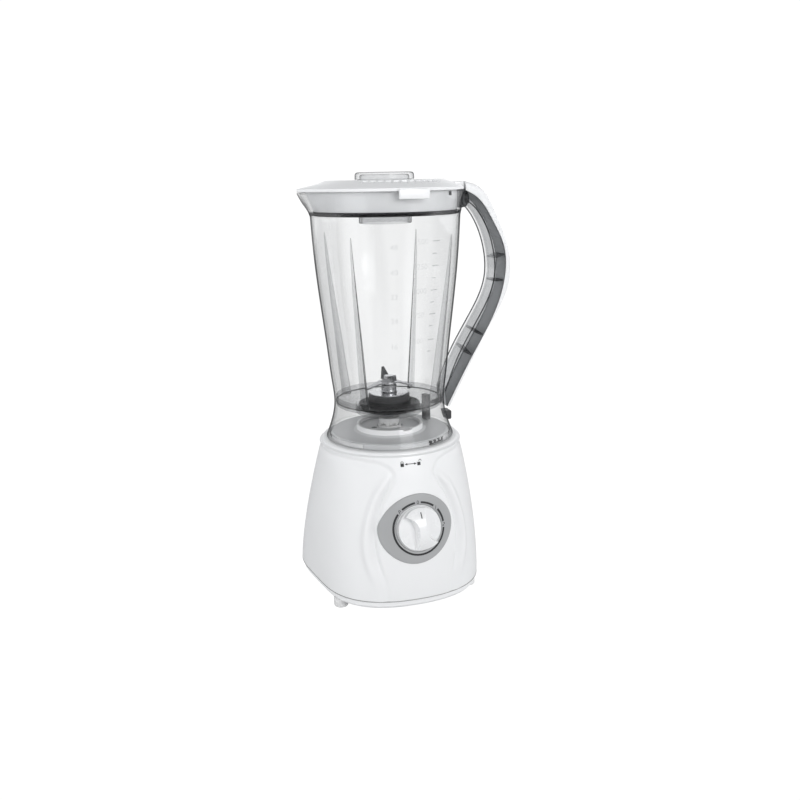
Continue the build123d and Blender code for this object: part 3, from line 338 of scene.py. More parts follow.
WHITE = (0.80, 0.805, 0.81)
# Stops of the painted dark edge that clear() puts where clear plastic is seen edge on.
WALL_RIM = ((0.08, 0.0), (0.35, 0.06), (0.62, 0.11), (0.74, 0.22), (0.83, 0.78), (1.0, 0.95))
RIB_RIM = ((0.30, 0.05), (0.60, 0.35), (0.80, 0.85), (1.0, 0.95))
CAP_RIM = ((0.50, 0.0), (0.68, 0.15), (0.80, 0.75), (1.0, 0.95))
INNER_RIM = ((0.80, 0.0), (0.93, 0.10), (0.97, 0.30), (1.0, 0.40))
SOFT_RIM = ((0.50, 0.0), (0.80, 0.15), (0.93, 0.75), (1.0, 0.9))
FLOOR_RIM = ((0.70, 0.08), (0.80, 0.18), (0.90, 0.80), (1.0, 0.93))
GRIP_RIM = ((0.72, 0.03), (0.84, 0.30), (0.92, 0.85), (1.0, 0.93))
MATERIALS = {
    "white_shell": moulded("white_shell", WHITE, 0.34, cloud=0.012, coat=0.25),
    "white_plate": moulded("white_plate", (0.84, 0.845, 0.85), 0.5, grain=0.05, cloud=0.015),
    "knob_white": moulded("knob_white", (0.80, 0.805, 0.81), 0.26, cloud=0.01, coat=0.35),
    "bezel_grey": moulded("bezel_grey", (0.36, 0.365, 0.37), 0.42, grain=0.04, cloud=0.04),
    "deck_grey": moulded("deck_grey", (0.70, 0.705, 0.71), 0.5, grain=0.04, cloud=0.02),
    "clear_jar": clear("clear_jar", (0.965, 0.967, 0.968), (0.03, 0.031, 0.033), WALL_RIM),
    "clear_cap": clear("clear_cap", (0.95, 0.952, 0.955), (0.05, 0.051, 0.053), CAP_RIM, milk=0.16),
    "dark_plastic": moulded("dark_plastic", (0.04, 0.04, 0.042), 0.4, grain=0.06, cloud=0.15),
    "coupling_white": moulded("coupling_white", (0.78, 0.78, 0.775), 0.38, cloud=0.03),
    "foot_rubber": rubbery("foot_rubber", (0.74, 0.74, 0.74)),
    "seal_rubber": rubbery("seal_rubber", (0.035, 0.035, 0.037)),
    "blade_steel": metal("blade_steel", (0.42, 0.42, 0.43), 0.22, (1, 30, 1), 160),
    "unit_steel": metal("unit_steel", (0.58, 0.58, 0.59), 0.24, (1, 1, 25), 140),
    "plain_steel": metal("plain_steel", (0.55, 0.56, 0.58), 0.33, (1, 1, 14), 200),
    "lamination": laminated("lamination", (0.30, 0.30, 0.31)),
    "copper_wire": wound("copper_wire", (0.72, 0.33, 0.14)),
    "bracket_alloy": metal("bracket_alloy", (0.62, 0.63, 0.64), 0.5, scale=700, depth=0.5),
    "bronze": metal("bronze", (0.56, 0.39, 0.2), 0.45, scale=1600, depth=0.5),
    "carbon": metal("carbon", (0.05, 0.05, 0.052), 0.6, scale=1200, depth=0.4),
    "terminal_plastic": moulded("terminal_plastic", (0.72, 0.70, 0.64), 0.5, cloud=0.05),
}
INK = printed("black_ink", (0.012, 0.012, 0.013))
SOFT_MARK = clear("moulded_mark", (0.88, 0.883, 0.887), (0.2, 0.2, 0.2), SOFT_RIM)
# Dark grey of the painted seam shadow.
SEAM_SHADOW_GREY = moulded("seam_painted_shadow", (0.30, 0.30, 0.30), 0.6, cloud=0.02)
DECK_RING = moulded("deck_ring_white", (0.90, 0.90, 0.90), 0.42, cloud=0.02)
GRIP_BACK = clear("clear_grip_back", (0.95, 0.952, 0.955), (0.04, 0.041, 0.043), GRIP_RIM)
# Grey-tinted clear plastic for the channel's sides and cross ribs: painted shade of the cover's shaded inside seen
# through them.
GRIP_SIDE_PAINTED_SHADE = clear("clear_grip_side_painted_shade", (0.77, 0.775, 0.78), (0.04, 0.041, 0.043), GRIP_RIM, painted_reflection_streaks=0.08)
FLOOR_CLEAR = clear("clear_floor", (0.90, 0.903, 0.905), (0.04, 0.041, 0.043), FLOOR_RIM)
INNER_CLEAR = clear("clear_inner", (0.975, 0.977, 0.978), (0.05, 0.051, 0.053), INNER_RIM)
RIB_CLEAR = clear("clear_rib", (0.93, 0.932, 0.935), (0.03, 0.031, 0.033), RIB_RIM)
# Nearly black clear plastic: painted dark bands of shade and dark refraction.
PAINTED_DARK_CLEAR = clear("clear_painted_dark", (0.34, 0.345, 0.35), (0.02, 0.021, 0.022), GRIP_RIM)


# ---------------------------------------------------------------- shape helpers
def mesh_piece(name, points, faces, body, slot, material, smooth_angle=35, replaces=()):
    """A mesh piece from millimetre points; it rides on a body; slot is not used."""
    mesh = bpy.data.meshes.new(name)
    mesh.from_pydata((np.asarray(points, float) * MM).tolist(), [], [list(map(int, f)) for f in faces])
    mesh.validate()
    mesh.update()
    piece = bpy.data.objects.new(name, mesh)
    bpy.context.scene.collection.objects.link(piece)
    piece.data.materials.append(material)
    mesh.polygons.foreach_set("use_smooth", [True] * len(mesh.polygons))
    mesh.set_sharp_from_angle(angle=radians(smooth_angle))
    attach(piece, body)
    if replaces:
        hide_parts(*replaces)
    return piece


def grid_faces(rows, columns, wrap_rows=False, wrap_columns=True):
    """Quads of a grid of points stored row after row."""
    faces = []
    for i in range(rows if wrap_rows else rows - 1):
        for j in range(columns if wrap_columns else columns - 1):
            i2, j2 = (i + 1) % rows, (j + 1) % columns
            faces.append((i * columns + j, i * columns + j2, i2 * columns + j2, i2 * columns + j))
    return faces


def cubic(knots, values, places):
    """A natural cubic spline through (knots, values), read at places."""
    knots, values = np.asarray(knots, float), np.asarray(values, float)
    count = len(knots)
    step = np.diff(knots)
    system = np.eye(count)
    right = np.zeros(count)
    for i in range(1, count - 1):
        system[i, i - 1:i + 2] = step[i - 1], 2 * (step[i - 1] + step[i]), step[i]
        right[i] = 6 * ((values[i + 1] - values[i]) / step[i] - (values[i] - values[i - 1]) / step[i - 1])
    bend = np.linalg.solve(system, right)
    k = np.clip(np.searchsorted(knots, places) - 1, 0, count - 2)
    h = step[k]
    a, b = (knots[k + 1] - places) / h, (places - knots[k]) / h
    return (a * values[k] + b * values[k + 1]
            + ((a ** 3 - a) * bend[k] + (b ** 3 - b) * bend[k + 1]) * h ** 2 / 6)


def smooth_line(points, count, closed=False):
    """count points along a smooth curve through points."""
    points = np.asarray(points, float)
    if closed:
        points = np.vstack([points[-3:], points, points[:4]])
    lengths = np.concatenate([[0], np.cumsum(np.linalg.norm(np.diff(points, axis=0), axis=1))])
    low, high = (lengths[3], lengths[-4]) if closed else (0, lengths[-1])
    places = np.linspace(low, high, count, endpoint=not closed)
    return np.stack([cubic(lengths, points[:, k], places) for k in range(points.shape[1])], 1)


def rounded(corners, closed=True, steps=5):
    """A polyline whose corners (x, y, radius) are rounded where radius is over 0."""
    line = []
    count = len(corners)
    for i, (x, y, radius) in enumerate(corners):
        here = np.array((x, y), float)
        if radius <= 0 or (not closed and i in (0, count - 1)):
            line.append(tuple(here))
            continue
        before = np.array(corners[i - 1][:2], float) - here
        after = np.array(corners[(i + 1) % count][:2], float) - here
        reach_in, reach_out = np.linalg.norm(before), np.linalg.norm(after)
        before, after = before / reach_in, after / reach_out
        half = np.arccos(np.clip(before @ after, -1, 1)) / 2
        cut = min(radius / np.tan(half), reach_in * 0.49, reach_out * 0.49)
        start, end = here + before * cut, here + after * cut
        for k in range(steps + 1):
            t = k / steps
            line.append(tuple((1 - t) ** 2 * start + 2 * t * (1 - t) * here + t ** 2 * end))
    return line


def lathe(name, outline, body, slot, material, columns=144, closed=True, reach=None, **options):
    """An outline of (radius, height) turned about Z; reach(angle, r, z) may push it outwards."""
    outline = np.asarray(outline, float)
    angles = np.arange(columns) * tau / columns
    angle, r = np.meshgrid(angles, outline[:, 0])
    z = np.repeat(outline[:, 1][:, None], columns, 1)
    if reach is not None:
        r = reach(angle, r, z)
    points = np.stack([r * np.cos(angle), r * np.sin(angle), z], -1).reshape(-1, 3)
    faces = grid_faces(len(outline), columns, wrap_rows=closed)
    return mesh_piece(name, points, [f[::-1] for f in faces], body, slot, material, **options)


def ease(x):
    """A smooth step from 0 to 1 for x from 0 to 1."""
    x = np.clip(x, 0, 1)
    return x * x * (3 - 2 * x)


# ---------------------------------------------------------------- base: the housing's side
SEAM_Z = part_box("base_housing")[0].z / MM
BASE_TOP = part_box("base_housing")[1].z / MM
SHOULDER_Z = BASE_TOP - 1.5
PLAN_MEAN = 89.0
PLAN_TERMS = (-7.0, 5.0, 1.5, -4.0)
SHOULDER_R = 65.0
SIDE_POWER = 1.6
DECK_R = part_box("top_deck")[1].x / MM - 3.2
KNOB_Z = 83.0
KNOB_TILT = radians(10)


def plan_radius(angle, z):
    """Radius of the base at an angle from the front, as in the CAD model."""
    t = np.clip((z - SEAM_Z) / (SHOULDER_Z - SEAM_Z), 0, 1)
    mean = SHOULDER_R + (PLAN_MEAN - SHOULDER_R) * (1 - t ** SIDE_POWER)
    wave = sum(a * np.cos((k + 1) * angle) for k, a in enumerate(PLAN_TERMS))
    return mean * (1 + (1 - t) * wave / PLAN_MEAN)


# Edge of the waisted front panel: half angle from the front in degrees, height
PANEL_EDGE = [
    (20.5, 12), (22, 32), (25.5, 48), (28.4, 64), (29, 79), (27, 96), (22.5, 113), (17.6, 125),
    (16.4, 131.0), (19.5, 136.5), (26, 140.0), (38, 141.8), (60, 142.6), (110, 143.0), (190, 143.0)]
FLAT_R = 76.0                # radius used to measure distances along the side


def panel_distance(angle, z):
    """Distance outwards from the panel's edge into the side panels, negative on the front."""
    edge = smooth_line([(radians(a) * FLAT_R, h) for a, h in PANEL_EDGE], 260)
    across, up = np.abs(angle).ravel() * FLAT_R, z.ravel()
    gap = np.full(across.shape, 1e9)
    inside = np.zeros(across.shape, bool)
    loop = np.vstack([edge, [(200 * FLAT_R / 57, edge[-1, 1]), (200 * FLAT_R / 57, 0), (edge[0, 0], 0)]])
    for k in range(len(edge) - 1):
        (x0, y0), (x1, y1) = edge[k], edge[k + 1]
        dx, dy = x1 - x0, y1 - y0
        t = np.clip(((across - x0) * dx + (up - y0) * dy) / (dx * dx + dy * dy), 0, 1)
        gap = np.minimum(gap, np.hypot(across - x0 - t * dx, up - y0 - t * dy))
    for k in range(len(loop)):
        (x0, y0), (x1, y1) = loop[k], loop[(k + 1) % len(loop)]
        if y0 != y1:
            crosses = (y0 > up) != (y1 > up)
            inside ^= crosses & (across < (x1 - x0) * (up - y0) / (y1 - y0) + x0)
    return np.where(inside, gap, -gap).reshape(angle.shape)


def relief(angle, z):
    """How far the housing stands out of its plain plan: proud front, rolled ridge, brow."""
    s = panel_distance(angle, z)
    brow = ease((z - 116) / 18)
    front = 1.2 * (1 - ease((s + 3.4) / 4))
    ridge = 3.0 * np.exp(-((s - 7.0) / 3.8) ** 2) * (1 - brow)
    groove = -2.0 * np.exp(-(s / 2.4) ** 2)
    overhang = 1.7 * (1 - ease((s + 1) / 5)) * brow
    low = ease((z - SEAM_Z - 6) / 34)
    top = 1 - ease((z - SHOULDER_Z + 2.5) / 3)
    return (front * (1 - brow) + ridge + groove + overhang) * (0.12 + 0.88 * low) * top


def make_housing():
    """The white shell: waisted front panel, side panels under a brow, rounded shoulder."""
    wall, columns = 2.6, 540
    angles = np.linspace(-pi, pi, columns, endpoint=False)
    rows = []

    def ring(z, inset, plain=None, detail=True):
        height = np.full(columns, float(z))
        r = plan_radius(angles, height) - inset if plain is None else np.full(columns, plain)
        if plain is None and detail:
            r = r + relief(angles, height)
        rows.append(np.stack([r * np.sin(angles), -r * np.cos(angles), height], 1))

    ring(SEAM_Z, wall, detail=False)
    for k in range(5):
        turn = k / 4 * pi / 2
        ring(SEAM_Z + 0.9 * (1 - cos(turn)), 0.9 * (1 - sin(turn)))
    for z in np.linspace(SEAM_Z + 1.6, SHOULDER_Z - 2.2, 112):
        ring(z, 0)
    shoulder = 3.0
    for k in range(1, 9):
        turn = k / 8 * pi / 2
        ring(BASE_TOP - shoulder + shoulder * sin(turn), 0, SHOULDER_R - shoulder * (1 - cos(turn)))
    ring(BASE_TOP, 0, DECK_R + 0.9)
    ring(BASE_TOP - 0.6, 0, DECK_R + 0.3)
    ring(BASE_TOP - wall, 0, DECK_R + 0.3)
    ring(BASE_TOP - wall, 0, SHOULDER_R - 2 * wall)
    for z in np.linspace(BASE_TOP - 2 * wall, SEAM_Z + 6, 14):
        ring(z, wall, detail=False)
    mesh_piece("housing_shell", np.vstack(rows), grid_faces(len(rows), columns, wrap_rows=True),
               "base", "white_shell", MATERIALS["white_shell"], replaces=["base_housing"])
    rows.clear()
    # A dark grey band along the seam: painted shadow in the gap between shell and plate.
    for height, proud in ((-0.3, -0.6), (-0.3, 0.06), (0.3, 0.06), (0.3, -0.6)):
        ring(SEAM_Z + height, -proud, detail=False)
    mesh_piece("seam_shadow", np.vstack(rows), grid_faces(len(rows), columns, wrap_rows=True),
               "base", "white_shell", SEAM_SHADOW_GREY)


def on_front(across, up, proud, follow=False):
    """Points on the housing's front, across and up in the panel's plane; follow adds the relief."""
    across, up, proud = np.broadcast_arrays(*(np.asarray(v, float) for v in (across, up, proud)))
    z = KNOB_Z + up * cos(KNOB_TILT)
    y = np.full(across.shape, -75.0)
    for _ in range(8):
        angle = np.arctan2(across, -y)
        r = plan_radius(angle, z) + proud
        if follow:
            r = r + relief(angle, z)
        y = -np.sqrt(np.maximum(r * r - across * across, 0))
    return np.stack([across, y, z], -1)


make_housing()


# ---------------------------------------------------------------- base: control panel
BEZEL_OUTLINE = [(-36.8, -4), (-12, -31), (22, -22), (32.6, 6), (8, 30.5), (-24, 22)]
BEZEL_PROUD = 2.4
BEZEL_HOLE_R = 21.2


def make_bezel():
    """The grey eye-shaped panel, crowned a little and rounded at both edges."""
    columns = 240
    outline = smooth_line(BEZEL_OUTLINE, 400, closed=True)
    direction = np.arange(columns) * tau / columns
    bearing = np.arctan2(outline[:, 1], outline[:, 0]) % tau
    order = np.argsort(bearing)
    reach = np.interp(direction, bearing[order], np.hypot(*outline.T)[order], period=tau)
    rim = 1.1
    rows = []

    def ring(radius, proud):
        rows.append(on_front(radius * np.cos(direction), radius * np.sin(direction), proud))

    for proud, out in ((-0.8, 0.0), (BEZEL_PROUD - 1.6, 0.0), (BEZEL_PROUD - 0.9, 0.25),
                       (BEZEL_PROUD - 0.3, 0.8), (BEZEL_PROUD - 0.05, 1.4)):
        ring(BEZEL_HOLE_R - 0.4 + out, proud)
    for share in np.linspace(0.12, 1, 9):
        ring(BEZEL_HOLE_R + 1.4 + (reach - rim - BEZEL_HOLE_R - 1.4) * share, BEZEL_PROUD)
    for k in range(1, 6):
        turn = k / 5 * pi / 2
        ring(reach - rim + rim * sin(turn), BEZEL_PROUD - rim * (1 - cos(turn)))
    ring(reach, -0.6)
    mesh_piece("dial_bezel", np.vstack(rows), grid_faces(len(rows), columns, wrap_rows=True),
               "base", "bezel_grey", MATERIALS["bezel_grey"], replaces=["control_bezel"])


def flat_shapes(name, loops, proud, thick, slot, material, follow=False):
    """Thin raised marks on the front: each loop is a list of (across, up) corners."""
    points, faces = [], []
    for loop in loops:
        loop = np.asarray(loop, float)
        start, count = len(points), len(loop)
        for level in (proud + thick, proud - 0.3):
            points.extend(on_front(loop[:, 0], loop[:, 1], level, follow))
        faces.append(list(range(start, start + count)))
        faces.append(list(range(start + 2 * count - 1, start + count - 1, -1)))
        for k in range(count):
            after = (k + 1) % count
            faces.append((start + k, start + count + k, start + count + after, start + after))
    return mesh_piece(name, np.array(points), faces, "base", slot, material)


def sector(inner, outer, start, end, steps):
    """Quads of a ring sector between two angles in degrees."""
    turns = np.radians(np.linspace(start, end, steps + 1))
    quads = []
    for a, b in zip(turns[:-1], turns[1:]):
        quads.append([(outer * cos(a), outer * sin(a)), (outer * cos(b), outer * sin(b)),
                      (inner * cos(b), inner * sin(b)), (inner * cos(a), inner * sin(a))])
    return quads


def strip(points, width):
    """Quads of a line of even width through points."""
    quads = []
    for (x0, y0), (x1, y1) in zip(points[:-1], points[1:]):
        length = np.hypot(x1 - x0, y1 - y0)
        nx, ny = -(y1 - y0) / length * width / 2, (x1 - x0) / length * width / 2
        quads.append([(x0 + nx, y0 + ny), (x0 - nx, y0 - ny), (x1 - nx, y1 - ny), (x1 + nx, y1 + ny)])
    return quads


def glyph_mesh(text, size):
    """Flat faces of a text, centred, as (points, faces) in the text's own plane."""
    curve = bpy.data.curves.new("glyph", "FONT")
    curve.body = text
    curve.size = size
    curve.align_x = "CENTER"
    curve.align_y = "CENTER"
    curve.resolution_u = 4
    holder = bpy.data.objects.new("glyph", curve)
    bpy.context.scene.collection.objects.link(holder)
    bpy.context.view_layer.update()
    mesh = bpy.data.meshes.new_from_object(holder)
    points = np.array([v.co[:2] for v in mesh.vertices], float).reshape(-1, 2)
    faces = [tuple(p.vertices) for p in mesh.polygons]
    bpy.data.objects.remove(holder)
    bpy.data.curves.remove(curve)
    bpy.data.meshes.remove(mesh)
    points -= (points.max(0) + points.min(0)) / 2
    return points, faces


def wrap_text(name, items, place, body, slot, material):
    """Texts laid on a surface: items are (text, size, x, y, turn); place maps x, y to 3-D."""
    points, faces = [], []
    for text, size, x, y, turn in items:
        flat, shapes = glyph_mesh(text, size)
        c, s = cos(turn), sin(turn)
        start = len(points)
        points.extend(place(x + flat[:, 0] * c - flat[:, 1] * s, y + flat[:, 0] * s + flat[:, 1] * c))
        faces.extend(tuple(start + k for k in shape) for shape in shapes)
    return mesh_piece(name, np.array(points), faces, body, slot, material)


DIAL_INNER, DIAL_OUTER = 22.9, 24.7
DIAL_STOPS = (("P", 135), ("0", 90), ("1", 45), ("2", 0))


def make_dial():
    """Black broken ring with the settings in its gaps."""
    gap = 6.5
    edges = sorted(a for _, a in DIAL_STOPS)
    loops = []
    for k, angle in enumerate(edges):
        nearest = edges[k + 1] if k + 1 < len(edges) else edges[0] + 360
        steps = int((nearest - angle) / 3)
        loops.extend(sector(DIAL_INNER, DIAL_OUTER, angle + gap, nearest - gap, steps))
    flat_shapes("dial_ring", loops, BEZEL_PROUD, 0.06, "dark_plastic", INK)
    middle = (DIAL_INNER + DIAL_OUTER) / 2 + 0.2
    items = [(text, 4.6, middle * cos(radians(a)), middle * sin(radians(a)), radians(a - 90) * 0.35)
             for text, a in DIAL_STOPS]
    wrap_text("dial_marks", items, lambda x, y: on_front(x, y, BEZEL_PROUD + 0.08),
              "base", "dark_plastic", INK)


LOCK_SIGN_UP = 58.2          # height of the lock sign above the knob, along the panel
LOCK_SIGN_X = -2.6


def make_lock_sign():
    """Generic sign over the panel: closed padlock, double arrow, open padlock."""
    def padlock(x, open_by):
        x += LOCK_SIGN_X
        arch = [(x + 1.1 * cos(a) + open_by, LOCK_SIGN_UP + 1.2 + open_by * 0.4 + 1.4 * sin(a))
                for a in np.linspace(pi, 0, 9)]
        body = [(x - 1.5, LOCK_SIGN_UP - 2.0), (x + 1.5, LOCK_SIGN_UP - 2.0),
                (x + 1.5, LOCK_SIGN_UP + 1.0), (x - 1.5, LOCK_SIGN_UP + 1.0)]
        return [body] + strip(arch, 0.5)

    loops = padlock(-8.4, 0) + padlock(7.0, 1.3)
    loops += strip([(LOCK_SIGN_X - 4.6, LOCK_SIGN_UP), (LOCK_SIGN_X + 3.6, LOCK_SIGN_UP)], 0.6)
    for tip, back in ((-6.2, -3.8), (5.0, 2.6)):
        loops.append([(LOCK_SIGN_X + tip, LOCK_SIGN_UP), (LOCK_SIGN_X + back, LOCK_SIGN_UP - 1.0),
                      (LOCK_SIGN_X + back, LOCK_SIGN_UP + 1.0)])
    flat_shapes("lock_sign", loops, 0.12, 0.05, "dark_plastic", INK, follow=True)


make_bezel()
make_dial()
make_lock_sign()


# ---------------------------------------------------------------- knob
KNOB_R = 20.0
KNOB_FOOT = 0.9              # gap between knob skirt and housing
PANEL_DEPTH = 79.3
GRIP_HEIGHT = 12.6
DISC_HEIGHT, SCOOP_FLOOR = 3.4, 2.9
# One side of the grip: across and up, each over the knob's radius; the other is its half turn
GRIP_SIDE = [(-1.06, 0.70), (-0.66, 0.59), (-0.34, 0.36), (-0.22, 0.05), (-0.20, -0.25), (-0.24, -0.62),
             (-0.31, -1.06)]


def panel_point(across, up, out):
    """Points over the control panel's own flat plane."""
    across, up, out = np.broadcast_arrays(*(np.asarray(v, float) for v in (across, up, out)))
    y = -PANEL_DEPTH + up * sin(KNOB_TILT) - out * cos(KNOB_TILT)
    return np.stack([across, y, KNOB_Z + up * cos(KNOB_TILT) + out * sin(KNOB_TILT)], -1)


def grip_distance(across, up):
    """Distance outwards from the grip bar's sides, negative on the bar."""
    side = smooth_line(GRIP_SIDE, 90) * KNOB_R
    best = np.full(across.shape, -1e9)
    for sign in (1, -1):
        line = side * sign
        x = np.interp(up, *(line[np.argsort(line[:, 1])][:, ::-1].T))
        near = np.full(across.shape, 1e9)
        for (x0, y0), (x1, y1) in zip(line[:-1], line[1:]):
            dx, dy = x1 - x0, y1 - y0
            t = np.clip(((across - x0) * dx + (up - y0) * dy) / (dx * dx + dy * dy), 0, 1)
            near = np.minimum(near, np.hypot(across - x0 - t * dx, up - y0 - t * dy))
        outside = (across < x) if sign > 0 else (across > x)
        best = np.maximum(best, np.where(outside, near, -near))
    return best


def grip_top(up):
    """Height of the grip bar, which arches down towards its ends."""
    return GRIP_HEIGHT - 8.0 * (up / KNOB_R) ** 2


def make_knob():
    """The switch knob: a round disc with a waisted, arched grip bar between two scoops."""
    rings, columns = 120, 400
    direction = np.arange(columns) * tau / columns
    edge = 0.8
    rows = []
    for share in np.linspace(0.006, 1, rings):
        radius = share * (KNOB_R - edge)
        x, y = radius * np.cos(direction), radius * np.sin(direction)
        d = grip_distance(x, y)
        floor = SCOOP_FLOOR + (DISC_HEIGHT - SCOOP_FLOOR) * ease((d - 2) / 8)
        wall = ease((d + 1.0) / 1.5)
        bar = np.maximum(grip_top(y), DISC_HEIGHT)
        rows.append(panel_point(x, y, bar * (1 - wall) + floor * wall))
    for k in range(1, 6):
        turn = k / 5 * pi / 2
        radius = KNOB_R - edge + edge * sin(turn)
        rows.append(panel_point(radius * np.cos(direction), radius * np.sin(direction),
                                DISC_HEIGHT - edge * (1 - cos(turn))))
    for radius, out in ((KNOB_R, KNOB_FOOT + 0.4), (KNOB_R - 0.4, KNOB_FOOT), (KNOB_R - 2.2, KNOB_FOOT)):
        rows.append(panel_point(radius * np.cos(direction), radius * np.sin(direction), out))
    points = np.vstack(rows)
    faces = grid_faces(len(rows), columns)
    faces.append(list(range(columns))[::-1])
    back = (len(rows) - 1) * columns
    faces.append(list(range(back, back + columns)))
    mesh_piece("knob_body", points, faces, "control", "knob_white", MATERIALS["knob_white"],
               smooth_angle=32, replaces=["knob"])
    half, low, high = 0.42, 10.6, 15.6
    corners = [(-half, low), (half, low), (half, high), (-half, high)]
    tick = [panel_point(x, y, grip_top(y) + lift) for lift in (0.35, -0.8) for x, y in corners]
    sides = [(k, (k + 1) % 4, 4 + (k + 1) % 4, 4 + k) for k in range(4)]
    mesh_piece("knob_pointer", np.array(tick), [(0, 1, 2, 3), (7, 6, 5, 4)] + sides,
               "control", "dark_plastic", INK)


make_knob()


# ---------------------------------------------------------------- base: deck under the jar
DECK_TOP = 155.0
RING_R, RING_TOP, RING_FLOOR = 31.4, 161.0, 158.0
WELL_R, WELL_FLOOR = 12.0, 152.6
DRAIN = (-16.5, -3.7, 2.8)


def make_deck():
    """The jar's seat: a grey platform, a white ring round its raised middle, and a ramp."""
    low = BASE_TOP - 2.6
    outline = rounded([
        (5.4, WELL_FLOOR - 2.4, 0), (5.4, WELL_FLOOR, 0.4), (WELL_R, WELL_FLOOR, 0.4),
        (WELL_R, RING_FLOOR, 0.5), (RING_R - 2.4, RING_FLOOR, 0.3), (RING_R - 2.4, RING_FLOOR - 1.5, 0),
        (RING_R - 0.2, RING_FLOOR - 1.5, 0), (RING_R - 0.2, DECK_TOP + 1.4, 0), (RING_R + 3.0, DECK_TOP, 1.5),
        (DECK_R, DECK_TOP, 1.0), (DECK_R, low, 0), (DECK_R - 2.4, low, 0), (DECK_R - 2.4, DECK_TOP - 2.4, 0),
        (WELL_R + 2.4, DECK_TOP - 2.4, 0), (WELL_R + 2.4, WELL_FLOOR - 2.4, 0)])
    lathe("deck_plate", outline, "base", "deck_grey", MATERIALS["deck_grey"], columns=180,
          replaces=["top_deck"])
    columns = 240
    angles = np.arange(columns) * tau / columns
    notch = np.zeros(columns)
    for gap in (-75, 45, 165):
        away = np.abs((np.degrees(angles) - gap + 180) % 360 - 180)
        notch = np.maximum(notch, 1 - ease((away - 8) / 2))
    rows = []
    for radius, height, follows in (
            (RING_R - 2.6, RING_FLOOR - 0.4, 0), (RING_R - 2.6, RING_TOP - 0.6, 1),
            (RING_R - 2.4, RING_TOP - 0.15, 1), (RING_R - 2.0, RING_TOP, 1), (RING_R - 0.6, RING_TOP, 1),
            (RING_R - 0.2, RING_TOP - 0.15, 1), (RING_R, RING_TOP - 0.6, 1), (RING_R + 0.1, DECK_TOP + 1.2, 0)):
        z = height - follows * notch * 1.6
        rows.append(np.stack([radius * np.cos(angles), radius * np.sin(angles), z], 1))
    mesh_piece("deck_ring", np.vstack(rows), [f[::-1] for f in grid_faces(len(rows), columns, wrap_rows=True)],
               "base", "deck_grey", DECK_RING)
    make_ramps()
    make_drain()


def make_ramps():
    """Three white bayonet ramps on the platform's side, each ending in a step."""
    steps = 40
    points, faces = [], []
    for start in (-206, -86, 34):
        first = len(points)
        for k in range(steps + 1):
            turn = radians(start + 72 * k / steps)
            top = BASE_TOP + 0.4 + 3.4 * ease(k / steps * 1.6)
            for radius, z in ((DECK_R - 0.2, top), (DECK_R + 1.0, top), (DECK_R + 1.0, BASE_TOP + 0.1),
                              (DECK_R - 0.2, BASE_TOP + 0.1)):
                points.append((radius * cos(turn), radius * sin(turn), z))
        faces += [tuple(first + i for i in f) for f in grid_faces(steps + 1, 4)]
        faces += [(first + 3, first + 2, first + 1, first),
                  tuple(first + steps * 4 + i for i in range(4))]
    mesh_piece("deck_ramps", np.array(points), faces, "base", "deck_grey", DECK_RING)


def make_drain():
    """A dark disc in the middle of the deck: painted shade standing in for the drain hole."""
    x, y, radius = DRAIN
    turns = np.arange(32) * tau / 32
    ring = np.stack([x + radius * np.cos(turns), y + radius * np.sin(turns)], 1)
    points = [(px, py, z) for z in (RING_FLOOR + 0.06, RING_FLOOR - 0.6) for px, py in ring]
    faces = [tuple(range(32)), tuple(range(63, 31, -1))]
    faces += [(k, 32 + k, 32 + (k + 1) % 32, (k + 1) % 32) for k in range(32)]
    mesh_piece("drain_painted_shade", np.array(points), faces, "base", "dark_plastic", MATERIALS["dark_plastic"])


make_deck()


# ---------------------------------------------------------------- jar
SKIRT_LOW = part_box("jar_vessel")[0].z / MM
RIM_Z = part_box("jar_vessel")[1].z / MM
JAR_WALL = 2.5
FLOOR_TOP, FLOOR_UNDER = 184.3, 180.5
BOSS_IN, BOSS_OUT, BOSS_LOW = 29.1, 31.4, 172.0
JAR_LINE = [(60.2, 150.6), (55.7, 163.0), (51.8, 184.3), (53.4, 202.0), (56.5, 231.0), (61.7, 278.0),
            (65.9, 323.0), (67.6, 354.0)]
COLLAR_R, COLLAR_Z, RIM_R = 68.5, 358.0, 70.5
SPOUT_TIP = 82.5


def jar_radius(z):
    """Outer radius of the jar's wall below the collar."""
    line = np.asarray(JAR_LINE)
    return cubic(line[:, 1], line[:, 0], np.asarray(z, float))


def spout_reach(angle, r, z):
    """Pushes the collar out into a pointed pouring lip towards -X."""
    rise = np.clip((z - JAR_LINE[-1][1]) / (RIM_Z - JAR_LINE[-1][1]), 0, 1)
    off = np.sqrt(((angle - pi + pi) % tau - pi) ** 2 + 0.05 ** 2)
    limit = np.arccos(RIM_R / SPOUT_TIP)
    wedge = 1 / np.cos(np.clip(limit - off, 0, None)) - 1
    return r * (1 + wedge * ease(rise) ** 0.9)


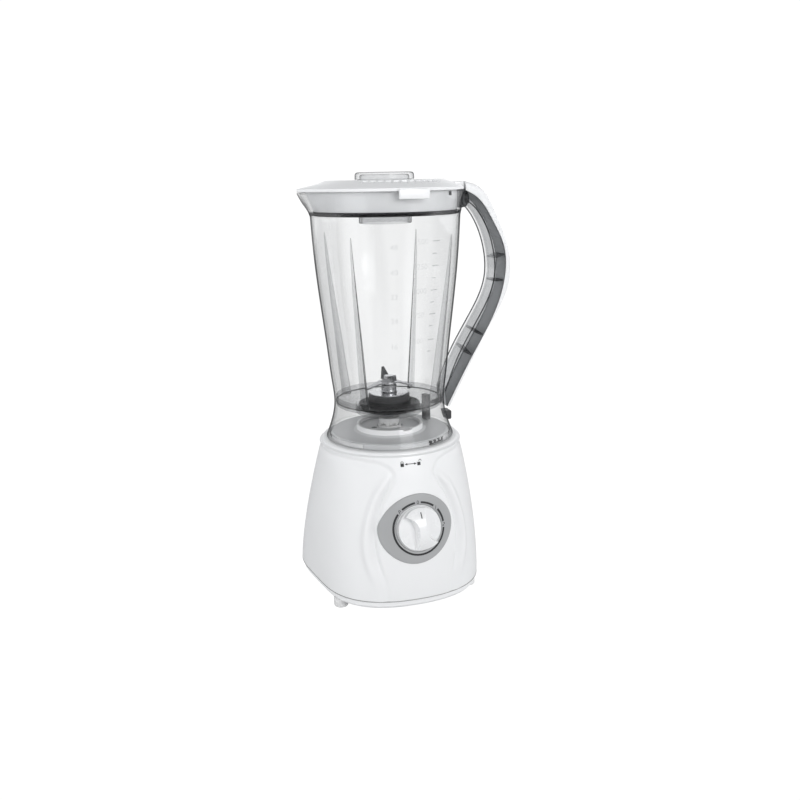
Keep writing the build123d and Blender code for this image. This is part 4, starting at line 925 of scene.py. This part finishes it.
def make_jar():
    """Clear jar: skirt, waist, body and collar as one turned wall with a spout, and its floor."""
    outside = [(jar_radius(z), z) for z in np.linspace(SKIRT_LOW + 0.8, COLLAR_Z - 4.2, 66)]
    inside = [(r - JAR_WALL, z) for r, z in outside if z > SKIRT_LOW + 5.2]
    middle_r, middle_z = (COLLAR_R + RIM_R) / 2, (COLLAR_Z + RIM_Z) / 2
    neck_r = jar_radius(COLLAR_Z - 4)
    collar = rounded([
        (neck_r, COLLAR_Z - 4, 0), (COLLAR_R, COLLAR_Z, 1.2), (middle_r, middle_z, 0), (RIM_R, RIM_Z, 1.1),
        (RIM_R - JAR_WALL, RIM_Z, 1.1), (RIM_R - JAR_WALL, RIM_Z - 2, 0)], closed=False)
    collar_inside = rounded([
        (RIM_R - JAR_WALL, RIM_Z - 2, 0), (middle_r - JAR_WALL, middle_z, 0),
        (COLLAR_R - JAR_WALL, COLLAR_Z + 1, 1.2), (neck_r - JAR_WALL, COLLAR_Z - 4, 0)], closed=False)
    skirt_in = jar_radius(SKIRT_LOW) - JAR_WALL
    foot = rounded([
        (skirt_in + 0.5, SKIRT_LOW + 5.0, 0), (skirt_in - 0.9, SKIRT_LOW + 4.2, 0.4),
        (skirt_in - 0.9, SKIRT_LOW, 0.4), (jar_radius(SKIRT_LOW), SKIRT_LOW, 0.5),
        (jar_radius(SKIRT_LOW + 0.8), SKIRT_LOW + 0.8, 0)], closed=False)
    lathe("jar_wall", foot + outside + collar, "jar", "clear_jar", MATERIALS["clear_jar"],
          columns=256, closed=False, reach=spout_reach, replaces=["jar_vessel"])
    lathe("jar_wall_inside", collar_inside + inside[::-1] + foot[:1], "jar", "clear_jar", INNER_CLEAR,
          columns=256, closed=False, reach=spout_reach)
    # A dark ring inside the collar wall: painted dark band where the seal shows dark through the refracting wall.
    lathe("jar_collar_painted_dark_band", [(neck_r - 1.6, COLLAR_Z - 2.6), (neck_r - 0.3, COLLAR_Z - 2.6),
                              (COLLAR_R - 0.4, COLLAR_Z - 0.6), (COLLAR_R - 1.6, COLLAR_Z - 0.6)],
          "jar", "clear_jar", PAINTED_DARK_CLEAR, columns=180)
    # A dark ring round the floor's edge: painted dark outline.
    edge_r = jar_radius(FLOOR_TOP) - JAR_WALL
    lathe("jar_floor_painted_dark_ring", [(edge_r - 0.2, FLOOR_TOP - 0.9), (edge_r + 0.8, FLOOR_TOP - 0.9),
                             (edge_r + 0.8, FLOOR_TOP + 0.1), (edge_r - 0.2, FLOOR_TOP + 0.1)],
          "jar", "clear_jar", PAINTED_DARK_CLEAR, columns=180)
    edge, under = jar_radius(FLOOR_TOP) - JAR_WALL + 0.4, jar_radius(FLOOR_UNDER) - JAR_WALL + 0.4
    floor = rounded([
        (edge, FLOOR_TOP + 5, 0), (edge, FLOOR_TOP, 4.5), (26.0, FLOOR_TOP, 1.0), (25.4, FLOOR_TOP - 0.7, 0.5),
        (19.8, FLOOR_TOP - 0.7, 0.2), (19.8, FLOOR_UNDER, 0.2), (BOSS_IN, FLOOR_UNDER, 0.4), (BOSS_IN, BOSS_LOW, 0.5),
        (BOSS_OUT, BOSS_LOW, 0.5), (BOSS_OUT, FLOOR_UNDER, 0.8), (under, FLOOR_UNDER, 1.2)])
    lathe("jar_floor", floor, "jar", "clear_jar", FLOOR_CLEAR, columns=200)


RIB_TOP = 338.0


def make_ribs():
    """Four flow-breaking fins up the inside of the wall, thick at the foot and thinning upwards."""
    stations = 46
    for number, angle in enumerate((45, 135, 225, 315)):
        across = np.array((-sin(radians(angle)), cos(radians(angle))))
        outward = np.array((cos(radians(angle)), sin(radians(angle))))
        points = []
        for z in np.linspace(FLOOR_TOP - 0.2, RIB_TOP, stations):
            share = (z - FLOOR_TOP) / (RIB_TOP - FLOOR_TOP)
            wall = jar_radius(z) - JAR_WALL
            depth = 7.5 * (1 - share) ** 0.8 + 0.1
            half = 2.3 * (1 - share) ** 0.55 + 0.12
            for inward, side in ((-0.8, 1.25), (0.0, 1.1), (0.45, 0.72), (0.8, 0.62), (0.95, 0.45), (1.0, 0.0),
                                 (0.95, -0.45), (0.8, -0.62), (0.45, -0.72), (0.0, -1.1), (-0.8, -1.25)):
                reach = min(inward, 0) * -0.9 + wall - max(inward, 0) * depth
                xy = outward * reach + across * half * side
                points.append((*xy, z))
        count = 11
        faces = [f for f in grid_faces(stations, count)]
        faces.append(list(range(count))[::-1])
        faces.append([(stations - 1) * count + k for k in range(count)])
        mesh_piece(f"jar_rib_{number + 1}", np.array(points), faces, "jar", "clear_jar",
                   RIB_CLEAR, smooth_angle=60)


# Handle outlines, side view: x outwards, z up
GRIP_INNER = [(73, 366), (80, 361), (91, 347), (101, 320), (102, 292), (87, 258), (65, 220), (52.6, 189)]
GRIP_OUTER = [(74, 374.2), (83, 369.5), (101, 346.5), (113, 321), (113.5, 293), (103, 260), (82.6, 224),
              (54.6, 173.5)]
COVER_OUTER = [(73.5, 382.4), (86, 378.2), (104, 353), (118, 318), (118.5, 288), (103, 256), (84, 223),
               (57.6, 173.5)]
HANDLE_HALF = 12.0
CROSS_RIB_HEIGHTS = (226, 244, 291, 313)


def swept_band(name, low_line, high_line, section, body, slot, material, stations=90, **options):
    """A band between two side-view lines; section(width) gives its (share, y) corners."""
    low = smooth_line(low_line, stations)
    high = smooth_line(high_line, stations)
    points = []
    for (x0, z0), (x1, z1) in zip(low, high):
        width = np.hypot(x1 - x0, z1 - z0)
        for w, y in section(width):
            t = w / width
            points.append((x0 + (x1 - x0) * t, y, z0 + (z1 - z0) * t))
    count = len(points) // stations
    faces = grid_faces(stations, count)
    faces.append(list(range(count))[::-1])
    faces.append([(stations - 1) * count + k for k in range(count)])
    return mesh_piece(name, np.array(points), faces, body, slot, material, **options)


def prism(name, outline, half, body, slot, material):
    """A side-view outline (x, z) given a width of half to each side."""
    outline = rounded(outline)
    count = len(outline)
    points = [(x, y, z) for y in (-half, half) for x, z in outline]
    faces = [tuple(range(count)), tuple(range(2 * count - 1, count - 1, -1))]
    faces += [(k, count + k, count + (k + 1) % count, (k + 1) % count) for k in range(count)]
    return mesh_piece(name, np.array(points), faces, body, slot, material)


def make_handle():
    """Clear grip channel with cross ribs, closed on its outside by the white cover."""
    half, wall, back = HANDLE_HALF - 0.2, 2.2, 2.6

    def back_wall(width):
        return rounded([(0, -half, 1.6), (0, half, 1.6), (back, half, 0.3), (back, -half, 0.3)], steps=4)

    def side_wall(side):
        def section(width):
            corners = [(back, side * half), (width - 0.1, side * half),
                       (width - 0.1, side * (half - wall)), (back, side * (half - wall))]
            return corners[::side]
        return section

    # Section of a dark strip along a channel edge: painted dark edge.
    def edge_bead(side):
        def section(width):
            corners = [(-0.1, side * (half + 0.1)), (0.9, side * (half + 0.1)),
                       (0.9, side * (half - 0.8)), (-0.1, side * (half - 0.8))]
            return corners[::side]
        return section

    def cover(width):
        return rounded([(0, -HANDLE_HALF, 0.6), (0, HANDLE_HALF, 0.6), (width, HANDLE_HALF, 3.2),
                        (width, -HANDLE_HALF, 3.2)], steps=5)

    swept_band("handle_back", GRIP_INNER, GRIP_OUTER, back_wall, "jar", "clear_jar", GRIP_BACK)
    # The sides take a grey tint: painted shade of the cover's inside.
    for name, side in (("handle_side_front", -1), ("handle_side_rear", 1)):
        swept_band(name, GRIP_INNER, GRIP_OUTER, side_wall(side), "jar", "clear_jar", GRIP_SIDE_PAINTED_SHADE)
    # Dark strips along both edges of the channel: painted dark edges of the clear sides.
    for name, side in (("handle_front_painted_dark_edge", -1), ("handle_rear_painted_dark_edge", 1)):
        swept_band(name, GRIP_INNER, GRIP_OUTER, edge_bead(side), "jar", "clear_jar", PAINTED_DARK_CLEAR)
    swept_band("handle_shell", GRIP_OUTER, COVER_OUTER, cover, "jar", "white_shell",
               MATERIALS["white_shell"], replaces=["handle_cover"])
    # The handle's root under the lid: real shape, while its near-black tint is painted shade in the gap between lid
    # and cover.
    prism("handle_root_painted_shade", [(69.4, 374.4, 0.6), (68.4, 358.8, 1.0), (74.0, 360.0, 2.0), (77.5, 364.5, 2.0),
                          (76.0, 374.4, 0.8)], HANDLE_HALF - 0.4, "jar", "clear_jar", PAINTED_DARK_CLEAR)
    make_cross_ribs()


def make_cross_ribs():
    """Stiffening webs across the grip channel."""
    inner, outer = smooth_line(GRIP_INNER, 200), smooth_line(GRIP_OUTER, 200)
    half = HANDLE_HALF - 2.4
    points, faces = [], []
    for z in CROSS_RIB_HEIGHTS:
        k = int(np.argmin(np.abs((inner[:, 1] + outer[:, 1]) / 2 - z)))
        a, b = inner[k], outer[k]
        width = np.linalg.norm(b - a)
        along = (b - a) / width
        beside = np.array((-along[1], along[0]))
        start = len(points)
        for side in (-0.8, 0.8):
            for reach, y in ((2.4, -half), (2.4, half), (width - 0.4, half), (width - 0.4, -half)):
                x, up = a + along * reach + beside * side
                points.append((x, y, up))
        faces += [(start, start + 3, start + 2, start + 1), (start + 4, start + 5, start + 6, start + 7)]
        faces += [(start + i, start + (i + 1) % 4, start + 4 + (i + 1) % 4, start + 4 + i) for i in range(4)]
    # The grey tint of the ribs is painted shade.
    mesh_piece("handle_cross_ribs", np.array(points), faces, "jar", "clear_jar", GRIP_SIDE_PAINTED_SHADE)


def make_scale():
    """Faint moulded graduations up the jar's front, with ounce and millilitre figures."""
    def on_jar(turn, z, out=0.12):
        r = jar_radius(z) + out
        angle = turn / 62.0
        return np.stack([r * np.sin(angle), -r * np.cos(angle), z], -1)

    items = []
    levels = [(248, 500), (271, 750), (292, 1000), (313, 1250), (334, 1500)]
    for z, amount in levels:
        items.append((str(amount), 6.6, 10, z, 0))
        items.append((str(round(amount / 250) * 8), 6.6, -13, z - 4, 0))
    wrap_text("scale_figures", items, lambda x, y: on_jar(x, y), "jar", "clear_jar", SOFT_MARK)
    points, faces = [], []
    for z, _ in levels:
        for shift, long in ((0, 7.0), (-10.5, 4.0)):
            start = len(points)
            for level in (0.18, -0.3):
                for x, up in ((21, -0.35), (21 + long, -0.35), (21 + long, 0.35), (21, 0.35)):
                    points.append(on_jar(np.array(float(x)), np.array(z + shift + up), level))
            faces += [(start, start + 1, start + 2, start + 3), (start + 7, start + 6, start + 5, start + 4)]
            faces += [(start + i, start + 4 + i, start + 4 + (i + 1) % 4, start + (i + 1) % 4) for i in range(4)]
    mesh_piece("scale_lines", np.array(points), faces, "jar", "clear_jar", SOFT_MARK)


make_jar()
make_ribs()
make_handle()
make_scale()


# ---------------------------------------------------------------- lid and measuring cap
LID_LOW = 375.7
LID_TOP = 385.0
LID_FLAT_R = 53.0
PLUG_R, PLUG_LOW = 64.6, 358.5
CAP_HOLE_R = 24.4
NECK_R, NECK_LOW = 26.8, 356.0
CAP_LOW = 347.2
VENT_IN, VENT_OUT = 54.5, 59.5   # radii between which the vents lie
VENT_WIDE, VENT_PITCH = 5.0, 360 / 52
VENT_ARC = 38.0              # degrees to each side of the front and of the back
TAB_SHIFT = 2.3


def slope_height(r):
    """Height of the lid's sloping rim at a radius."""
    return LID_TOP - (r - LID_FLAT_R) * (LID_TOP - LID_LOW - 2.6) / (RIM_R - 0.1 - LID_FLAT_R)


def make_lid():
    """White lid: flat crown, sloping rim with vents and a pointed lip, deep plug, cap neck."""
    vent_rows = [(r + d, slope_height(r + d), 0) for r in (VENT_IN, VENT_OUT) for d in (-0.05, 0.05)]
    profile = np.asarray(rounded([
        (CAP_HOLE_R, NECK_LOW, 0.6), (CAP_HOLE_R, LID_TOP, 0.8), (LID_FLAT_R, LID_TOP, 2.0), *vent_rows,
        (RIM_R - 0.1, LID_LOW + 2.6, 0.7), (RIM_R - 0.1, LID_LOW, 0.6), (PLUG_R, LID_LOW, 0.3),
        (PLUG_R, PLUG_LOW, 0.5), (PLUG_R - 2.2, PLUG_LOW, 0.5), (PLUG_R - 2.2, LID_TOP - 6.4, 1.0),
        (LID_FLAT_R - 1.2, LID_TOP - 2.4, 1.0), (NECK_R, LID_TOP - 2.4, 0.4), (NECK_R, NECK_LOW, 0.6)], steps=4))
    half = VENT_WIDE / (VENT_IN + VENT_OUT)
    step = radians(VENT_PITCH)
    shares = [-step / 2, -half - 0.001, -half + 0.001, 0, half - 0.001, half + 0.001]
    angles = np.array([pi / 2 + k * step + share for k in range(52) for share in shares])
    angle, r = np.meshgrid(angles, profile[:, 0])
    z = np.repeat(profile[:, 1][:, None], len(angles), 1).copy()
    across = np.abs((angle - pi / 2 + step / 2) % step - step / 2)
    from_middle = np.abs((np.degrees(angle) - 90 + 90) % 180 - 90)
    vent = (across < half) & (from_middle < VENT_ARC) & (r > VENT_IN) & (r < VENT_OUT) & (z > LID_TOP - 5)
    z[vent] -= 1.2
    out = spout_reach(angle, r, np.full_like(r, RIM_Z))
    lip = 0.7 * ease((r - 38) / (LID_FLAT_R - 38)) + 0.3 * ease((r - LID_FLAT_R) / (RIM_R - LID_FLAT_R))
    lip *= (z > LID_LOW - 0.5) & ((z > LID_TOP - 1.5) | (r > LID_FLAT_R + 1))
    r = r + (out - r) * lip * (r > PLUG_R - 0.5)
    points = np.stack([r * np.cos(angle), r * np.sin(angle), z], -1).reshape(-1, 3)
    faces = [f[::-1] for f in grid_faces(len(profile), len(angles), wrap_rows=True)]
    mesh_piece("lid_top", points, faces, "lid", "white_shell", MATERIALS["white_shell"],
               smooth_angle=30, replaces=["lid_shell"])


def block(name, centre, size, radius, body, slot, material, turn=0.0, steps=3):
    """A box with rounded vertical edges and softened top and bottom edges."""
    hx, hy, hz = (s / 2 for s in size)
    soft = min(radius * 0.4, hz * 0.6)
    rows = []
    for inset, level in ((soft, -hz), (soft * 0.3, -hz + soft * 0.3), (0, -hz + soft), (0, hz - soft),
                         (soft * 0.3, hz - soft * 0.3), (soft, hz)):
        ring = rounded([(-hx + inset, -hy + inset, radius), (hx - inset, -hy + inset, radius),
                        (hx - inset, hy - inset, radius), (-hx + inset, hy - inset, radius)], steps=steps)
        rows.append([(x * cos(turn) - y * sin(turn) + centre[0], x * sin(turn) + y * cos(turn) + centre[1],
                      level + centre[2]) for x, y in ring])
    count = len(rows[0])
    faces = grid_faces(len(rows), count)
    faces.append(list(range(count))[::-1])
    faces.append([(len(rows) - 1) * count + k for k in range(count)])
    return mesh_piece(name, np.array(rows).reshape(-1, 3), faces, body, slot, material)


def make_lid_details():
    """The finger tab over the collar at the front, and the lug that meets the handle's head."""
    white = MATERIALS["white_shell"]
    block("lid_tab", (TAB_SHIFT, -RIM_R - 2.1, LID_LOW - 2.3), (26.6, 2.8, 8.0), 1.0, "lid", "white_shell", white)
    block("lid_tab_root", (TAB_SHIFT, -RIM_R + 0.9, LID_LOW + 0.9), (26.2, 6.4, 1.8), 0.8, "lid",
          "white_shell", white)
    block("lid_lug", (68.4, 0, LID_LOW + 3.5), (10.0, 18, 6.0), 1.2, "lid", "white_shell", white)
    turn = radians(33.6)
    block("rim_mark", (71.0 * sin(turn), -71.0 * cos(turn), RIM_Z - 2.2), (2.8, 1.0, 3.6), 0.3, "jar",
          "dark_plastic", MATERIALS["dark_plastic"], turn=turn)


def make_cap():
    """Translucent measuring cap: low crown over the lid, cup below."""
    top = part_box("measuring_cap")[1].z / MM
    rim, cup, cup_low, wall = 26.6, 24.0, 23.8, 1.8
    outline = rounded([
        (0.2, top, 0), (rim - 0.3, top, 2.8), (rim, LID_TOP + 0.4, 0.5), (cup, LID_TOP + 0.4, 0.3),
        (cup_low, CAP_LOW, 1.0), (cup_low - wall, CAP_LOW, 0.6), (cup - wall, LID_TOP, 1.0),
        (cup - wall, top - 2.0, 2.0), (0.2, top - 2.0, 0)], closed=False)
    lathe("cap_cup", outline, "cap", "clear_cap", MATERIALS["clear_cap"], columns=144, closed=False,
          replaces=["measuring_cap"])


make_lid()
make_lid_details()
make_cap()


# ---------------------------------------------------------------- finish of every CAD piece that shows
for part in frame["record"]["subparts"]:
    node = frame["nodes"][part["node"]]
    node.data.materials.clear()
    node.data.materials.append(MATERIALS[part["material_slot"]])
